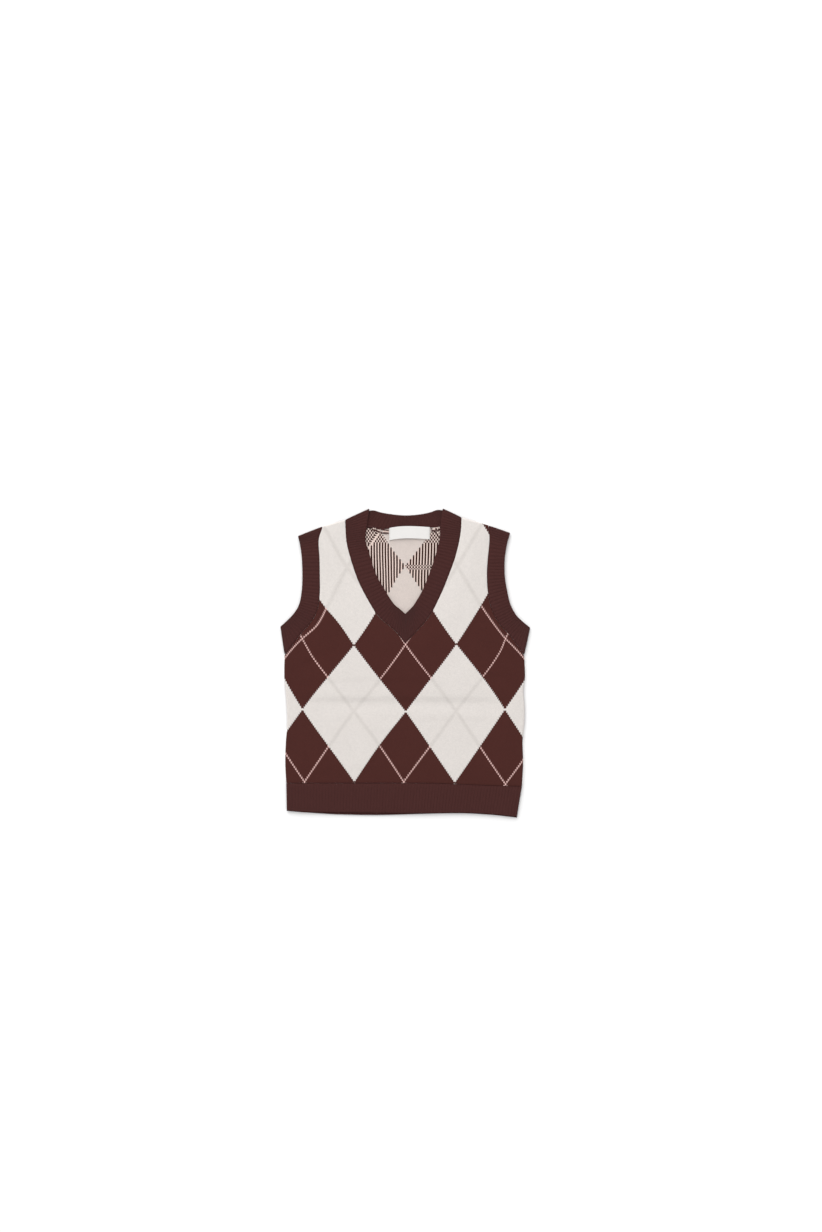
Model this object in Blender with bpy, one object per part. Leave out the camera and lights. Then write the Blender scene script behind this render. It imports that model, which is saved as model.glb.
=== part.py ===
"""A child's knitted argyle sweater vest, laid flat with its back underneath.

It is built as it is sewn: a back and a front panel, a ribbed hem on each, ribbed bands round
the neck and both armholes, and a bare woven label at the back neck. The tables are in
millimetres: x across the vest as it is seen, y up to its neck, z up from the surface it lies on.
Every piece is a wall of cloth, and its ribs are raised on the side that shows.
"""

import math
from collections import namedtuple

import bmesh
import bpy
from mathutils import Vector

MM = 0.001

# Cloth, in millimetres. A seam pulls the outer face down, and a finished edge is rounded off
WALL = 2.0
RIB_RELIEF = 0.5
RIB_PITCH = 3.45
GAP = 0.3
SEAM_HALF_GAP = GAP / 2
SEAM_DIP = 0.45
SEAM_EASE = 1.2
EDGE_ROUND = 0.7
EDGE_INSET = 1.0

# Layers: both walls are measured from this height, up to the front's faces and down to the back's
MIDDLE = WALL + GAP / 2
INNER = GAP / 2
OUTER = INNER + WALL
THINNEST = INNER + 0.3

# At a side seam or a shoulder the outer face drops towards the middle over this width
TURN_WIDTH = 2.2
Turn = namedtuple("Turn", "distance drop")
TURNS = (
    Turn(0.0, OUTER - THINNEST),
    Turn(0.7, 0.75),
    Turn(TURN_WIDTH, 0.0),
)
FOLD_STEPS = 5

# The two ends of a strip: its last point there and the one beside it
FIRST = (0, 1)
LAST = (-1, -2)

# The sections of one rib, as shares of its pitch and of its relief: a narrow valley, a flat crest
Rib = namedtuple("Rib", "share relief")
RIB_POINTS = (Rib(0.0, 0.0), Rib(0.3, 1.0), Rib(0.7, 1.0))

# The middle of the front lies this far proud of its rim, less where it creases
LOFT = 0.9
LOFT_RISE = 22.0

BROWN = (0.070, 0.024, 0.023, 1.0)
CREAM = (0.760, 0.710, 0.668, 1.0)
CREAM_INSIDE = (0.708, 0.624, 0.571, 1.0)
LABEL_WHITE = (0.871, 0.855, 0.831, 1.0)

# Where the side seams lie, from the hem's seam up to the underarms
Side = namedtuple("Side", "y left right")
SIDES = (
    Side(-138.0, -136.8, 134.1),
    Side(-114.0, -137.9, 135.5),
    Side(-90.0, -137.2, 134.8),
    Side(-72.0, -135.7, 136.6),
    Side(-53.0, -136.1, 137.1),
    Side(-29.0, -137.8, 135.8),
    Side(-16.0, -139.0, 137.6),
)

# Crossings of a band: where its seam and its finished edge lie, from one end to the other
Crossing = namedtuple("Crossing", "seam_x seam_y edge_x edge_y")
LEFT_ARMHOLE = (
    Crossing(-94.8, 157.2, -123.3, 146.0),
    Crossing(-99.5, 141.0, -121.0, 136.0),
    Crossing(-98.6, 121.0, -118.9, 121.0),
    Crossing(-98.2, 100.0, -118.2, 100.0),
    Crossing(-98.3, 79.0, -119.1, 82.0),
    Crossing(-101.0, 61.0, -122.1, 67.2),
    Crossing(-108.8, 46.0, -128.0, 57.0),
    Crossing(-121.0, 32.0, -135.3, 49.2),
    Crossing(-138.7, 9.0, -143.6, 41.6),
)
RIGHT_ARMHOLE = (
    Crossing(95.6, 158.2, 120.5, 149.6),
    Crossing(96.8, 141.5, 116.8, 136.0),
    Crossing(94.8, 119.0, 114.3, 119.0),
    Crossing(93.9, 101.0, 114.4, 101.0),
    Crossing(95.2, 80.0, 116.5, 86.0),
    Crossing(100.0, 60.0, 120.6, 68.4),
    Crossing(108.8, 44.0, 127.2, 55.6),
    Crossing(121.0, 30.5, 135.0, 47.6),
    Crossing(136.7, 8.5, 143.6, 40.5),
)
LEFT_NECK = (
    Crossing(0.1, 22.3, 0.1, 56.6),
    Crossing(-14.1, 37.2, -6.9, 62.6),
    Crossing(-28.6, 52.6, -13.9, 68.9),
    Crossing(-42.3, 74.1, -23.9, 84.6),
    Crossing(-53.8, 96.5, -34.2, 103.2),
    Crossing(-61.3, 121.0, -41.4, 126.0),
    Crossing(-65.7, 138.0, -45.6, 141.0),
    Crossing(-67.2, 150.5, -44.4, 155.5),
    Crossing(-67.6, 165.2, -41.3, 177.6),
)
RIGHT_NECK = (
    Crossing(0.1, 22.3, 0.1, 56.6),
    Crossing(13.2, 36.6, 5.6, 62.0),
    Crossing(27.0, 53.6, 10.6, 67.8),
    Crossing(39.1, 77.3, 20.3, 84.6),
    Crossing(47.8, 98.0, 29.2, 105.8),
    Crossing(56.2, 120.7, 36.6, 126.6),
    Crossing(60.9, 140.0, 40.6, 142.5),
    Crossing(63.0, 152.9, 41.4, 158.0),
    Crossing(63.8, 167.9, 43.2, 177.7),
)
BACK_NECK = (
    Crossing(-67.6, 165.2, -41.3, 177.6),
    Crossing(-55.5, 157.8, -35.4, 175.2),
    Crossing(-39.4, 154.6, -26.8, 172.8),
    Crossing(-19.9, 154.0, -13.8, 170.7),
    Crossing(0.2, 155.4, 0.8, 169.6),
    Crossing(20.4, 155.2, 16.0, 170.7),
    Crossing(37.6, 156.2, 27.6, 172.9),
    Crossing(51.5, 160.0, 36.4, 175.8),
    Crossing(63.8, 167.9, 43.2, 177.7),
)

# The hems' bottom edges: the back one shows a little below the front one
Hem = namedtuple("Hem", "x front_y back_y")
HEMS = (
    Hem(-136.2, -169.1, -170.0),
    Hem(-118.8, -170.6, -171.6),
    Hem(-82.0, -171.2, -173.8),
    Hem(-32.5, -171.9, -174.7),
    Hem(16.9, -172.3, -173.5),
    Hem(65.2, -171.7, -172.7),
    Hem(102.0, -173.6, -174.7),
    Hem(128.3, -176.4, -177.7),
)

# Soft troughs across the front: the middle of each, its length, its half width and its depth
Crease = namedtuple("Crease", "x y half_length half_width depth slope")
CREASES = (
    Crease(-2.0, -44.0, 104.0, 7.5, 0.80, 0.0),
    Crease(-34.0, -22.0, 60.0, 6.0, 0.45, 0.03),
    Crease(30.0, -62.0, 62.0, 6.0, 0.40, -0.04),
    Crease(108.0, -16.0, 20.0, 5.0, 0.45, -0.15),
    Crease(-110.0, 2.0, 22.0, 6.0, 0.45, 0.45),
    Crease(0.0, 12.0, 34.0, 8.0, 0.30, 0.0),
)

# The label, on the inside of the back: its middle, its size, and how its free edge stands off
LABEL_X = 4.9
LABEL_Y = 149.4
LABEL_WIDTH = 46.8
LABEL_HEIGHT = 14.1
LABEL_WALL = 1.0
LABEL_BOW = 0.9
LABEL_LIFT = 0.6
LABEL_COLUMNS = 10

# Grid of a panel: rows up to the underarms and along the armholes, and columns in each half.
# A plain stretch of an armband has a section for each row, so that both follow one curve
LOWER_ROWS = 12
ARMHOLE_ROWS = 36
HALF_COLUMNS = 7
HEM_COLUMNS = 24

# The row of a panel at which its neck begins: low on the front, and high on the back
FRONT_NECK_ROW = 12
BACK_NECK_ROW = 30


def remove_scene_objects():
    for thing in list(bpy.data.objects):
        bpy.data.objects.remove(thing)


def make_material(name, colour, roughness):
    material = bpy.data.materials.new(name)
    material.use_nodes = True
    shader = material.node_tree.nodes["Principled BSDF"]
    shader.inputs["Base Color"].default_value = colour
    shader.inputs["Roughness"].default_value = roughness
    shader.inputs["Metallic"].default_value = 0.0
    material.diffuse_color = colour
    return material


def smooth(values, t):
    """A Catmull-Rom curve through the values, with t counted in values from the first."""
    last = len(values) - 1
    i = min(int(t), last - 1)
    f = t - i
    before = values[i - 1] if i > 0 else 2 * values[0] - values[1]
    after = values[i + 2] if i + 2 <= last else 2 * values[last] - values[last - 1]
    start, end = values[i], values[i + 1]
    bend = 2 * before - 5 * start + 4 * end - after
    twist = 3 * (start - end) + after - before
    return start + 0.5 * f * ((end - before) + f * (bend + f * twist))


def smooth_at(table, key, column, position):
    """Reads a column of a table at a position between two of its rows, along a smooth curve."""
    keys = [getattr(row, key) for row in table]
    i = 0
    while i < len(keys) - 2 and position > keys[i + 1]:
        i += 1
    share = (position - keys[i]) / (keys[i + 1] - keys[i])
    return smooth([getattr(row, column) for row in table], i + min(max(share, 0.0), 1.0))


def spread(points, steps):
    """Points along a smooth curve through the given ones, with this many steps between them."""
    return [smooth(points, i / steps * (len(points) - 1)) for i in range(steps + 1)]


def seam_of(crossings):
    return [Vector((row.seam_x, row.seam_y, 0.0)) for row in crossings]


def edge_of(crossings):
    return [Vector((row.edge_x, row.edge_y, 0.0)) for row in crossings]


def curve_length(points):
    places = spread(points, 8 * (len(points) - 1))
    return sum((b - a).length for a, b in zip(places, places[1:]))


def finish_object(name, bm, material):
    """Turns a mesh in millimetres into an object in metres, with its faces out."""
    bmesh.ops.recalc_face_normals(bm, faces=bm.faces)
    bmesh.ops.scale(bm, vec=(MM, MM, MM), verts=bm.verts)
    mesh = bpy.data.meshes.new(name)
    bm.to_mesh(mesh)
    bm.free()
    mesh.materials.append(material)
    mesh.shade_smooth()
    mesh.set_sharp_from_angle(angle=math.radians(50))
    thing = bpy.data.objects.new(name, mesh)
    bpy.context.scene.collection.objects.link(thing)
    return thing


def loft(name, sections, closed, material):
    """Skins closed sections of equal point counts. Open lofts get a face over each end."""
    bm = bmesh.new()
    rings = [[bm.verts.new(point) for point in section] for section in sections]
    pairs = list(zip(rings, rings[1:]))
    if closed:
        pairs.append((rings[-1], rings[0]))
    else:
        bm.faces.new(rings[0])
        bm.faces.new(rings[-1])
    for near, far in pairs:
        for i in range(len(near)):
            j = (i + 1) % len(near)
            bm.faces.new((near[i], near[j], far[j], far[i]))
    return finish_object(name, bm, material)


def wall_from_grid(name, outer, inner, cells, material):
    """A wall between two sheets of the same cells, closed along every edge that one cell has."""
    bm = bmesh.new()
    above = {key: bm.verts.new(point) for key, point in outer.items()}
    below = {key: bm.verts.new(point) for key, point in inner.items()}
    used = {}
    for cell in cells:
        bm.faces.new([above[key] for key in cell])
        bm.faces.new([below[key] for key in reversed(cell)])
        for a, b in zip(cell, cell[1:] + cell[:1]):
            used.setdefault(frozenset((a, b)), []).append((a, b))
    for ways in used.values():
        if len(ways) == 1:
            a, b = ways[0]
            bm.faces.new((above[b], above[a], below[a], below[b]))
    return finish_object(name, bm, material)


def set_in_fold(seam, edge, end):
    """Moves one end of a strip to the axis of its fold, so that the fold reaches its outline.

    It returns the ways out of the seam and of the edge, each 1 mm across the fold for a unit.
    """
    tip, beside = end
    along = (edge[tip] - seam[tip]).normalized()
    across = Vector((-along.y, along.x, 0.0))
    ways = [line[tip] - line[beside] for line in (seam, edge)]
    outs = [way / abs(way.dot(across)) for way in ways]
    for line, out in zip((seam, edge), outs):
        line[tip] = line[tip] - out * OUTER
    return outs


def turned_rows(axis, corner):
    """The last two rows at a shoulder, where the wall turns down from the fold's axis."""
    return [axis.lerp(corner, 1 - turn.distance / OUTER) for turn in reversed(TURNS[:-1])]


def armhole_boundary(crossings):
    """A panel's armhole from the top of its side to its shoulder."""
    seam, edge = seam_of(crossings), edge_of(crossings)
    shoulder, underarm = seam[0].copy(), seam[-1].copy()
    set_in_fold(seam, edge, FIRST)
    set_in_fold(seam, edge, LAST)
    points = spread(seam[::-1], ARMHOLE_ROWS)
    return [underarm] + points + turned_rows(points[-1], shoulder)


def neck_boundary(seam, shoulder, neck_row):
    """A panel's neck from its middle to its shoulder, in the rows that are left for it."""
    points = spread(seam, LOWER_ROWS + ARMHOLE_ROWS + 1 - neck_row)
    return points + turned_rows(points[-1], shoulder)


def set_back(points, turn):
    """A boundary pulled back from its seam by half the gap, to its left for 1 or its right for -1."""
    moved = []
    for i, point in enumerate(points):
        along = (points[min(i + 1, len(points) - 1)] - points[max(i - 1, 0)]).normalized()
        moved.append(point + Vector((-along.y, along.x, 0.0)) * (turn * SEAM_HALF_GAP))
    return moved


def panel_half(side, crossings, neck, neck_row):
    """The outer and the inner boundary of half a panel, row by row from the hem seam up."""
    armhole = armhole_boundary(crossings)
    underarm = armhole[0]
    rows = SIDES + (Side(underarm.y, underarm.x, underarm.x),)
    start = SIDES[0].y + SEAM_HALF_GAP
    turn = 1 if side == "left" else -1
    outer, inner = [], []
    for i in range(LOWER_ROWS):
        y = start + (underarm.y - start) * i / LOWER_ROWS
        outer.append(Vector((smooth_at(rows, "y", side, y), y, 0.0)))
    outer += set_back(armhole, -turn)
    for i in range(neck_row):
        inner.append(Vector((neck[0].x, start + (neck[0].y - start) * i / neck_row, 0.0)))
    slant = (neck[1] - neck[0]).normalized()
    inner.append(neck[0] - Vector((0.0, SEAM_HALF_GAP / abs(slant.x), 0.0)))
    inner += set_back(neck, turn)[1:]
    return outer, inner


def turn_drop(distance):
    """How far the outer face lies below its full height, this far in from a fold or side seam."""
    for near, far in zip(TURNS, TURNS[1:]):
        if distance <= far.distance:
            share = (distance - near.distance) / (far.distance - near.distance)
            return near.drop + (far.drop - near.drop) * share
    return 0.0


def crease_depth(x, y):
    depth = 0.0
    for crease in CREASES:
        along = (x - crease.x) / crease.half_length
        across = (y - crease.y - crease.slope * (x - crease.x)) / crease.half_width
        depth += crease.depth * math.exp(-(along ** 4) - across * across)
    return depth


def loft_height(x, y, rim):
    """How far the front's outer face rises, from 0 at its rim to a soft middle with creases."""
    rise = min(rim / LOFT_RISE, 1.0)
    rise = rise * rise * (3 - 2 * rise)
    return max(LOFT * rise - crease_depth(x, y) * rise, 0.0)


def panel_grid(halves, neck_row):
    """The points of both halves in the plane and the cells between them.

    A half is its outer and its inner boundary. Up to the neck they share the middle column.
    """
    places, cells = {}, []
    last_column = HALF_COLUMNS + len(TURNS) - 1
    for half, (outer, inner) in enumerate(halves):
        rows = len(outer)
        for i in range(rows):
            width = (outer[i] - inner[i]).length
            flat = 1 - TURN_WIDTH / width
            shares = [flat * k / HALF_COLUMNS for k in range(HALF_COLUMNS + 1)]
            shares += [1 - turn.distance / width for turn in reversed(TURNS[:-1])]
            for k, share in enumerate(shares):
                key = (0 if k == 0 and i <= neck_row else half, i, k)
                places[key] = inner[i].lerp(outer[i], share)
        for i in range(rows - 1):
            for k in range(last_column):
                corners = [(i, k), (i, k + 1), (i + 1, k + 1), (i + 1, k)]
                cell = [(0 if c == 0 and r <= neck_row else half, r, c) for r, c in corners]
                cells.append(cell if half else cell[::-1])
    return places, cells


def rim_distance(point, rims):
    return min((point - place).length for place in rims)


def make_panel(name, halves, front, material):
    """A panel's wall. Its outer face turns down along the side seams and the shoulders."""
    neck_row = FRONT_NECK_ROW if front else BACK_NECK_ROW
    places, cells = panel_grid(halves, neck_row)
    rows = len(halves[0][0])
    last_column = HALF_COLUMNS + len(TURNS) - 1
    rims = [point for outer, inner in halves for point in outer + inner[neck_row:]]
    facing = 1 if front else -1
    outer, inner = {}, {}
    for key, place in places.items():
        half, i, k = key
        at_neck = k == 0 and i > neck_row
        at_armhole = k == last_column and i > LOWER_ROWS
        drop = SEAM_DIP if i == 0 or at_neck or at_armhole else 0.0
        if i <= LOWER_ROWS:
            drop = max(drop, turn_drop((halves[half][0][i] - place).length))
        if i > rows - len(TURNS):
            drop = max(drop, TURNS[rows - 1 - i].drop)
        lift = 0.0
        if front:
            rim = min(rim_distance(place, rims), place.y - SIDES[0].y)
            lift = loft_height(place.x, place.y, rim)
        outer[key] = Vector((place.x, place.y, MIDDLE + facing * (OUTER - drop) + lift))
        inner[key] = Vector((place.x, place.y, MIDDLE + facing * INNER))
    return wall_from_grid(name, outer, inner, cells, material)


def make_front_panel(material):
    halves = []
    for side, armhole, neck in (("left", LEFT_ARMHOLE, LEFT_NECK), ("right", RIGHT_ARMHOLE, RIGHT_NECK)):
        seam, edge = seam_of(neck), edge_of(neck)
        shoulder = seam[-1].copy()
        set_in_fold(seam, edge, LAST)
        boundary = neck_boundary(seam, shoulder, FRONT_NECK_ROW)
        halves.append(panel_half(side, armhole, boundary, FRONT_NECK_ROW))
    return make_panel("front_panel", halves, True, material)


def make_back_panel(material):
    """The back reaches up to the back neck seam, which is cut shallow."""
    seam = back_neck_strip()[0]
    middle = len(seam) // 2
    halves = []
    for side, armhole, half_seam, shoulder in (
        ("left", LEFT_ARMHOLE, seam[middle::-1], seam_of(LEFT_NECK)[-1]),
        ("right", RIGHT_ARMHOLE, seam[middle:], seam_of(RIGHT_NECK)[-1]),
    ):
        boundary = neck_boundary(half_seam, shoulder, BACK_NECK_ROW)
        halves.append(panel_half(side, armhole, boundary, BACK_NECK_ROW))
    return make_panel("back_panel", halves, False, material)


def rib_columns(count):
    """Where a ribbed strip has a section, from 0 to 1, and how much relief it has there."""
    columns = []
    for rib in range(count):
        columns += [((rib + point.share) / count, point.relief) for point in RIB_POINTS]
    return columns


def make_hem(name, front, material):
    """A ribbed hem. The front one has ribs on its face, and the back one lies on a flat face."""
    bottom = "front_y" if front else "back_y"
    width = HEMS[-1].x - HEMS[0].x
    if front:
        columns = rib_columns(round(width / RIB_PITCH)) + [(1.0, 0.0)]
    else:
        columns = [(i / HEM_COLUMNS, 1.0) for i in range(HEM_COLUMNS + 1)]
    # The last sections at each side are where the wall turns to meet the other hem
    turned = [turn.distance / width for turn in TURNS[:-1]]
    columns = [column for column in columns if turned[-1] < column[0] < 1 - turned[-1]]
    columns = [(share, 1.0) for share in turned] + columns + [(1 - share, 1.0) for share in turned[::-1]]
    facing = 1 if front else -1
    top_left, top_right = SIDES[0].left, SIDES[0].right
    top_y = SIDES[0].y - SEAM_HALF_GAP
    sections = []
    for share, relief in columns:
        drop = turn_drop(min(share, 1 - share) * width)
        high = OUTER - drop - RIB_RELIEF * (1 - relief)
        x_top = top_left + (top_right - top_left) * share
        x_low = HEMS[0].x + width * share
        depth = top_y - smooth_at(HEMS, "x", bottom, x_low)
        profile = (
            (0.0, max(high - SEAM_DIP, THINNEST)),
            (SEAM_EASE, high),
            (depth - EDGE_INSET, high),
            (depth, max(high - EDGE_ROUND, THINNEST)),
            (depth, INNER),
            (0.0, INNER),
        )
        section = []
        for down, height in profile:
            x = x_top + (x_low - x_top) * down / depth
            section.append(Vector((x, top_y - down, MIDDLE + facing * height)))
        sections.append(section)
    return loft(name, sections, False, material)


def band_section(seam, edge, normals, outer, inner):
    """One section across a band, from the seam over the outer face to the edge and back inside.

    The normals point out of the wall at the seam and at the edge.
    """
    at_seam, at_edge = normals
    across = (edge - seam).normalized()
    base = Vector((0.0, 0.0, MIDDLE))
    start = base + seam + across * SEAM_HALF_GAP
    end = base + edge
    return [
        start + at_seam * outer,
        end - across * EDGE_INSET + at_edge * outer,
        end + at_edge * (outer - EDGE_ROUND),
        end + at_edge * inner,
        start + at_seam * inner,
    ]


def fold_sections(seam, edge, outs, going_down):
    """The sections round a fold, between the flat strips above and below it."""
    sections = []
    for i in range(1, FOLD_STEPS + 1):
        angle = math.pi * (0.5 - i / (FOLD_STEPS + 1))
        angle = angle if going_down else -angle
        rise = Vector((0.0, 0.0, math.sin(angle)))
        normals = [out * math.cos(angle) + rise for out in outs]
        sections.append(band_section(seam, edge, normals, OUTER, INNER))
    return sections


def strip(seam, edge, columns, facing, ribs_outside):
    """The sections of a flat strip. Ribs are cut into its outer or its inner face."""
    sections = []
    last = len(seam) - 1
    normal = Vector((0.0, 0.0, facing))
    for share, relief in columns:
        sunk = RIB_RELIEF * (1 - relief)
        outer = OUTER - sunk if ribs_outside else OUTER
        inner = INNER if ribs_outside else INNER + sunk
        at_seam, at_edge = smooth(seam, share * last), smooth(edge, share * last)
        sections.append(band_section(at_seam, at_edge, (normal, normal), outer, inner))
    return sections


def ribs_along(seam, edge):
    """The columns of a ribbed strip, with a whole number of ribs from end to end."""
    middle = [(a + b) / 2 for a, b in zip(seam, edge)]
    return rib_columns(round(curve_length(middle) / RIB_PITCH)) + [(1.0, 0.0)]


def make_armband(name, crossings, material):
    """A ring of rib, folded at the shoulder and under the arm, with its front on its back."""
    seam, edge = seam_of(crossings), edge_of(crossings)
    shoulder_outs = set_in_fold(seam, edge, FIRST)
    underarm_outs = set_in_fold(seam, edge, LAST)
    plain = [(1 - i / ARMHOLE_ROWS, 1.0) for i in range(ARMHOLE_ROWS + 1)]
    sections = strip(seam, edge, ribs_along(seam, edge), 1, True)
    sections += fold_sections(seam[-1], edge[-1], underarm_outs, True)
    sections += strip(seam, edge, plain, -1, True)
    sections += fold_sections(seam[0], edge[0], shoulder_outs, False)
    return loft(name, sections, True, material)


def back_neck_strip():
    """The back neck's seam and edge, which begin and end on the axes of the shoulder folds."""
    back_seam, back_edge = seam_of(BACK_NECK), edge_of(BACK_NECK)
    for end, crossings in ((0, LEFT_NECK), (-1, RIGHT_NECK)):
        seam, edge = seam_of(crossings), edge_of(crossings)
        set_in_fold(seam, edge, LAST)
        back_seam[end], back_edge[end] = seam[-1], edge[-1]
    return back_seam, back_edge


def make_neckband(material):
    """A ring of rib, mitred at the V's point and folded at both shoulders."""
    left_seam, left_edge = seam_of(LEFT_NECK), edge_of(LEFT_NECK)
    right_seam, right_edge = seam_of(RIGHT_NECK), edge_of(RIGHT_NECK)
    left_outs = set_in_fold(left_seam, left_edge, LAST)
    right_outs = set_in_fold(right_seam, right_edge, LAST)
    back_seam, back_edge = back_neck_strip()
    right = strip(right_seam, right_edge, ribs_along(right_seam, right_edge), 1, True)
    sections = strip(left_seam, left_edge, ribs_along(left_seam, left_edge), 1, True)
    sections += fold_sections(left_seam[-1], left_edge[-1], left_outs, True)
    sections += strip(back_seam, back_edge, ribs_along(back_seam, back_edge), -1, False)
    sections += fold_sections(right_seam[-1], right_edge[-1], right_outs, False)
    sections += right[:0:-1]
    return loft("neckband", sections, True, material)


def make_label(material):
    """A plain woven label, a little bowed, lying on the inside of the back."""
    outer, inner, cells = {}, {}, []
    height = WALL + GAP
    for i in range(2):
        for k in range(LABEL_COLUMNS + 1):
            share = k / LABEL_COLUMNS
            bow = LABEL_BOW * math.sin(math.pi * share)
            x = LABEL_X + (share - 0.5) * LABEL_WIDTH
            y = LABEL_Y + (i - 0.5) * LABEL_HEIGHT + bow
            lift = 0.0 if i else LABEL_LIFT * math.sin(math.pi * share)
            inner[(i, k)] = Vector((x, y, height + lift))
            outer[(i, k)] = Vector((x, y, height + lift + LABEL_WALL))
    for k in range(LABEL_COLUMNS):
        cells.append([(0, k), (0, k + 1), (1, k + 1), (1, k)])
    return wall_from_grid("neck_label", outer, inner, cells, material)


def main():
    remove_scene_objects()
    make_back_panel(make_material("back_knit", CREAM_INSIDE, 0.9))
    make_hem("hem_rib_back", False, make_material("hem_back_rib", BROWN, 0.9))
    make_front_panel(make_material("front_knit", CREAM, 0.9))
    make_hem("hem_rib_front", True, make_material("hem_front_rib", BROWN, 0.9))
    make_neckband(make_material("neck_rib", BROWN, 0.9))
    make_armband("armband_left", LEFT_ARMHOLE, make_material("left_arm_rib", BROWN, 0.9))
    make_armband("armband_right", RIGHT_ARMHOLE, make_material("right_arm_rib", BROWN, 0.9))
    make_label(make_material("label_weave", LABEL_WHITE, 0.7))


main()
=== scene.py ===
"""The looks of a child's argyle sweater vest that lies flat with its back underneath.

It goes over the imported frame. Each piece of cloth is knitted again on its solid's own form, with
a fine grid, round edges and real ribs, and its material draws the stitches from the cloth's own
UV map, which counts wales across and courses along. The tables are in millimetres, as in the
part's source: x across the vest as it is seen, y up to its neck, z up from the surface.
They are the source's own, apart from the neckband's tables and the right half of the front hem's
seam, which lie up to a few millimetres off the solids', as in the photograph.
"""

import math
from collections import namedtuple

import bmesh
import bpy
import numpy as np
from mathutils import Matrix, Vector
from mathutils.kdtree import KDTree


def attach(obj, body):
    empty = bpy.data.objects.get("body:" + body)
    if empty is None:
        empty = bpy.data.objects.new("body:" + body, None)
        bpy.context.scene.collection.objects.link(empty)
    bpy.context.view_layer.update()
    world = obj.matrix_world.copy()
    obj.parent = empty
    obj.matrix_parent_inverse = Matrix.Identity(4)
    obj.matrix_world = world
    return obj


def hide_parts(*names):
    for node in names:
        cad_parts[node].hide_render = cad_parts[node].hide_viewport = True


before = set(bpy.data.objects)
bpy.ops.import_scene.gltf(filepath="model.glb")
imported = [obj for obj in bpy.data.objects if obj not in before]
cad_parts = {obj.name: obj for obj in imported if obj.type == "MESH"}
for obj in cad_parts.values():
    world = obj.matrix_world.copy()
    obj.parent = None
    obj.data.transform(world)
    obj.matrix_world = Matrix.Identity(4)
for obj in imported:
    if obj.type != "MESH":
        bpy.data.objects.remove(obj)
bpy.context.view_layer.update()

bl_info = {
    "name": "Argyle sweater vest",
    "version": (1, 0, 0),
    "blender": (4, 5, 0),
    "location": "3D View > Sidebar > Vest",
    "description": "Knits a child's argyle sweater vest that lies flat, piece by piece",
    "category": "Add Mesh",
}

MM = 0.001

# Cloth, in millimetres: its wall, the gap between the layers, its seams and its finished edges
WALL = 2.0
GAP = 0.3
LEAST_WALL = 0.3
SEAM_HALF_GAP = GAP / 2
SEAM_DIP = 0.5
SEAM_EASE = 1.1
EDGE_ROUND = 0.8
EDGE_FULLNESS = 0.6

# Both walls are measured from this height, up to the front's faces and down to the back's
MIDDLE = WALL + GAP / 2
INNER = GAP / 2
OUTER = INNER + WALL
THINNEST = INNER + LEAST_WALL

# A rib rises in a narrow valley to a round crest. The steps are the sections of one rib
RIB_STEPS = 8
RIB_ROUNDNESS = 0.7
FOLD_RIBS = 3

# A band swells between its seam and its edge, and its points draw together towards the seam
BAND_BOW = 0.1
BAND_COLUMNS = 9
BAND_GRADING = 1.3
EDGE_POINTS = 5

# At a side seam or a shoulder the outer face rounds down to the middle over this width
TURN_WIDTH = 2.2
TURN_DROP = OUTER - THINNEST

# The two ends of a row of points: the tip and the point beside it
FIRST = (0, 1)
LAST = (-1, -2)

# Distances from an edge at which the cloth has its first points, before they are spread evenly
EDGE_STEPS = (0.0, 0.35, 0.9, 1.6, 2.6)
SHOULDER_STEPS = (1.6, 1.1, 0.7, 0.35, 0.12, 0.0)
HEM_END_STEPS = (0.12, 0.75, 1.1, 1.7)

# Rows and columns of a panel: up to the underarms, along the armholes, and across each half
LOWER_ROWS = 56
ARMHOLE_ROWS = 108
HALF_COLUMNS = 50
FRONT_NECK_ROW = 56
BACK_NECK_ROW = 110

# Points of the lines that a panel's faces are measured from, and steps of a measured curve
SHOULDER_POINTS = 12
HEM_SEAM_POINTS = 40
CURVE_STEPS = 8
SHARP_ANGLE = math.radians(60)

# The stitches: the height of one, the repeat of the argyle in stitches, and the wales of a rib
# with the place of its crest
COURSE = 78.7 / 70
REPEAT_WALES = 35
REPEAT_COURSES = 70
RIB_WALES = 2
RIB_CREST = RIB_WALES / 2 + 0.5

# A plain stitch has two leaning legs, highest along their middles. A purl one is a small wave
STITCH_LEAN = 0.85
LEG_BASE = 0.45
LEG_SWELL = 2.2
PURL_WAVE = 0.24

# Shares of the cloth's colour taken off as painted shade, between the strands and beside a rib, and a
# share of its tone that differs by chance
PLAIN_GROOVE_PAINTED_SHADE = 0.26
PURL_GROOVE_PAINTED_SHADE = 0.3
RIB_GROOVE_PAINTED_SHADE = 0.34
RIB_VALLEY_PAINTED_SHADE = 0.05
CHANCE_SHADE = 0.06

# How fine its clouds of tone are, and how it takes the light
CLOUDS_PER_METRE = 24.0
YARN_ROUGHNESS = 0.92
YARN_SHEEN = 0.04

# An overlay line has one stitch in full view and one half hidden. Behind the cream it shows through,
# partly as its own darker yarn and partly as painted shadow, over a width that reaches this far to each
# side, in half wales
HIDDEN_STITCH = 0.45
LINE_REACH = 5.5

# The middle of the front lies proud of its rim, which it meets over this width, and a little
# uneven
LOFT_RISE = 22.0
LOFT_UNEVENNESS = 0.12

# Where the side seams lie, from the hem's seam up to the underarms
Side = namedtuple("Side", "y left right")
SIDES = (
    Side(-138.0, -136.8, 134.1),
    Side(-114.0, -137.9, 135.5),
    Side(-90.0, -137.2, 134.8),
    Side(-72.0, -135.7, 136.6),
    Side(-53.0, -136.1, 137.1),
    Side(-29.0, -137.8, 135.8),
    Side(-16.0, -139.0, 137.6),
)

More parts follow.
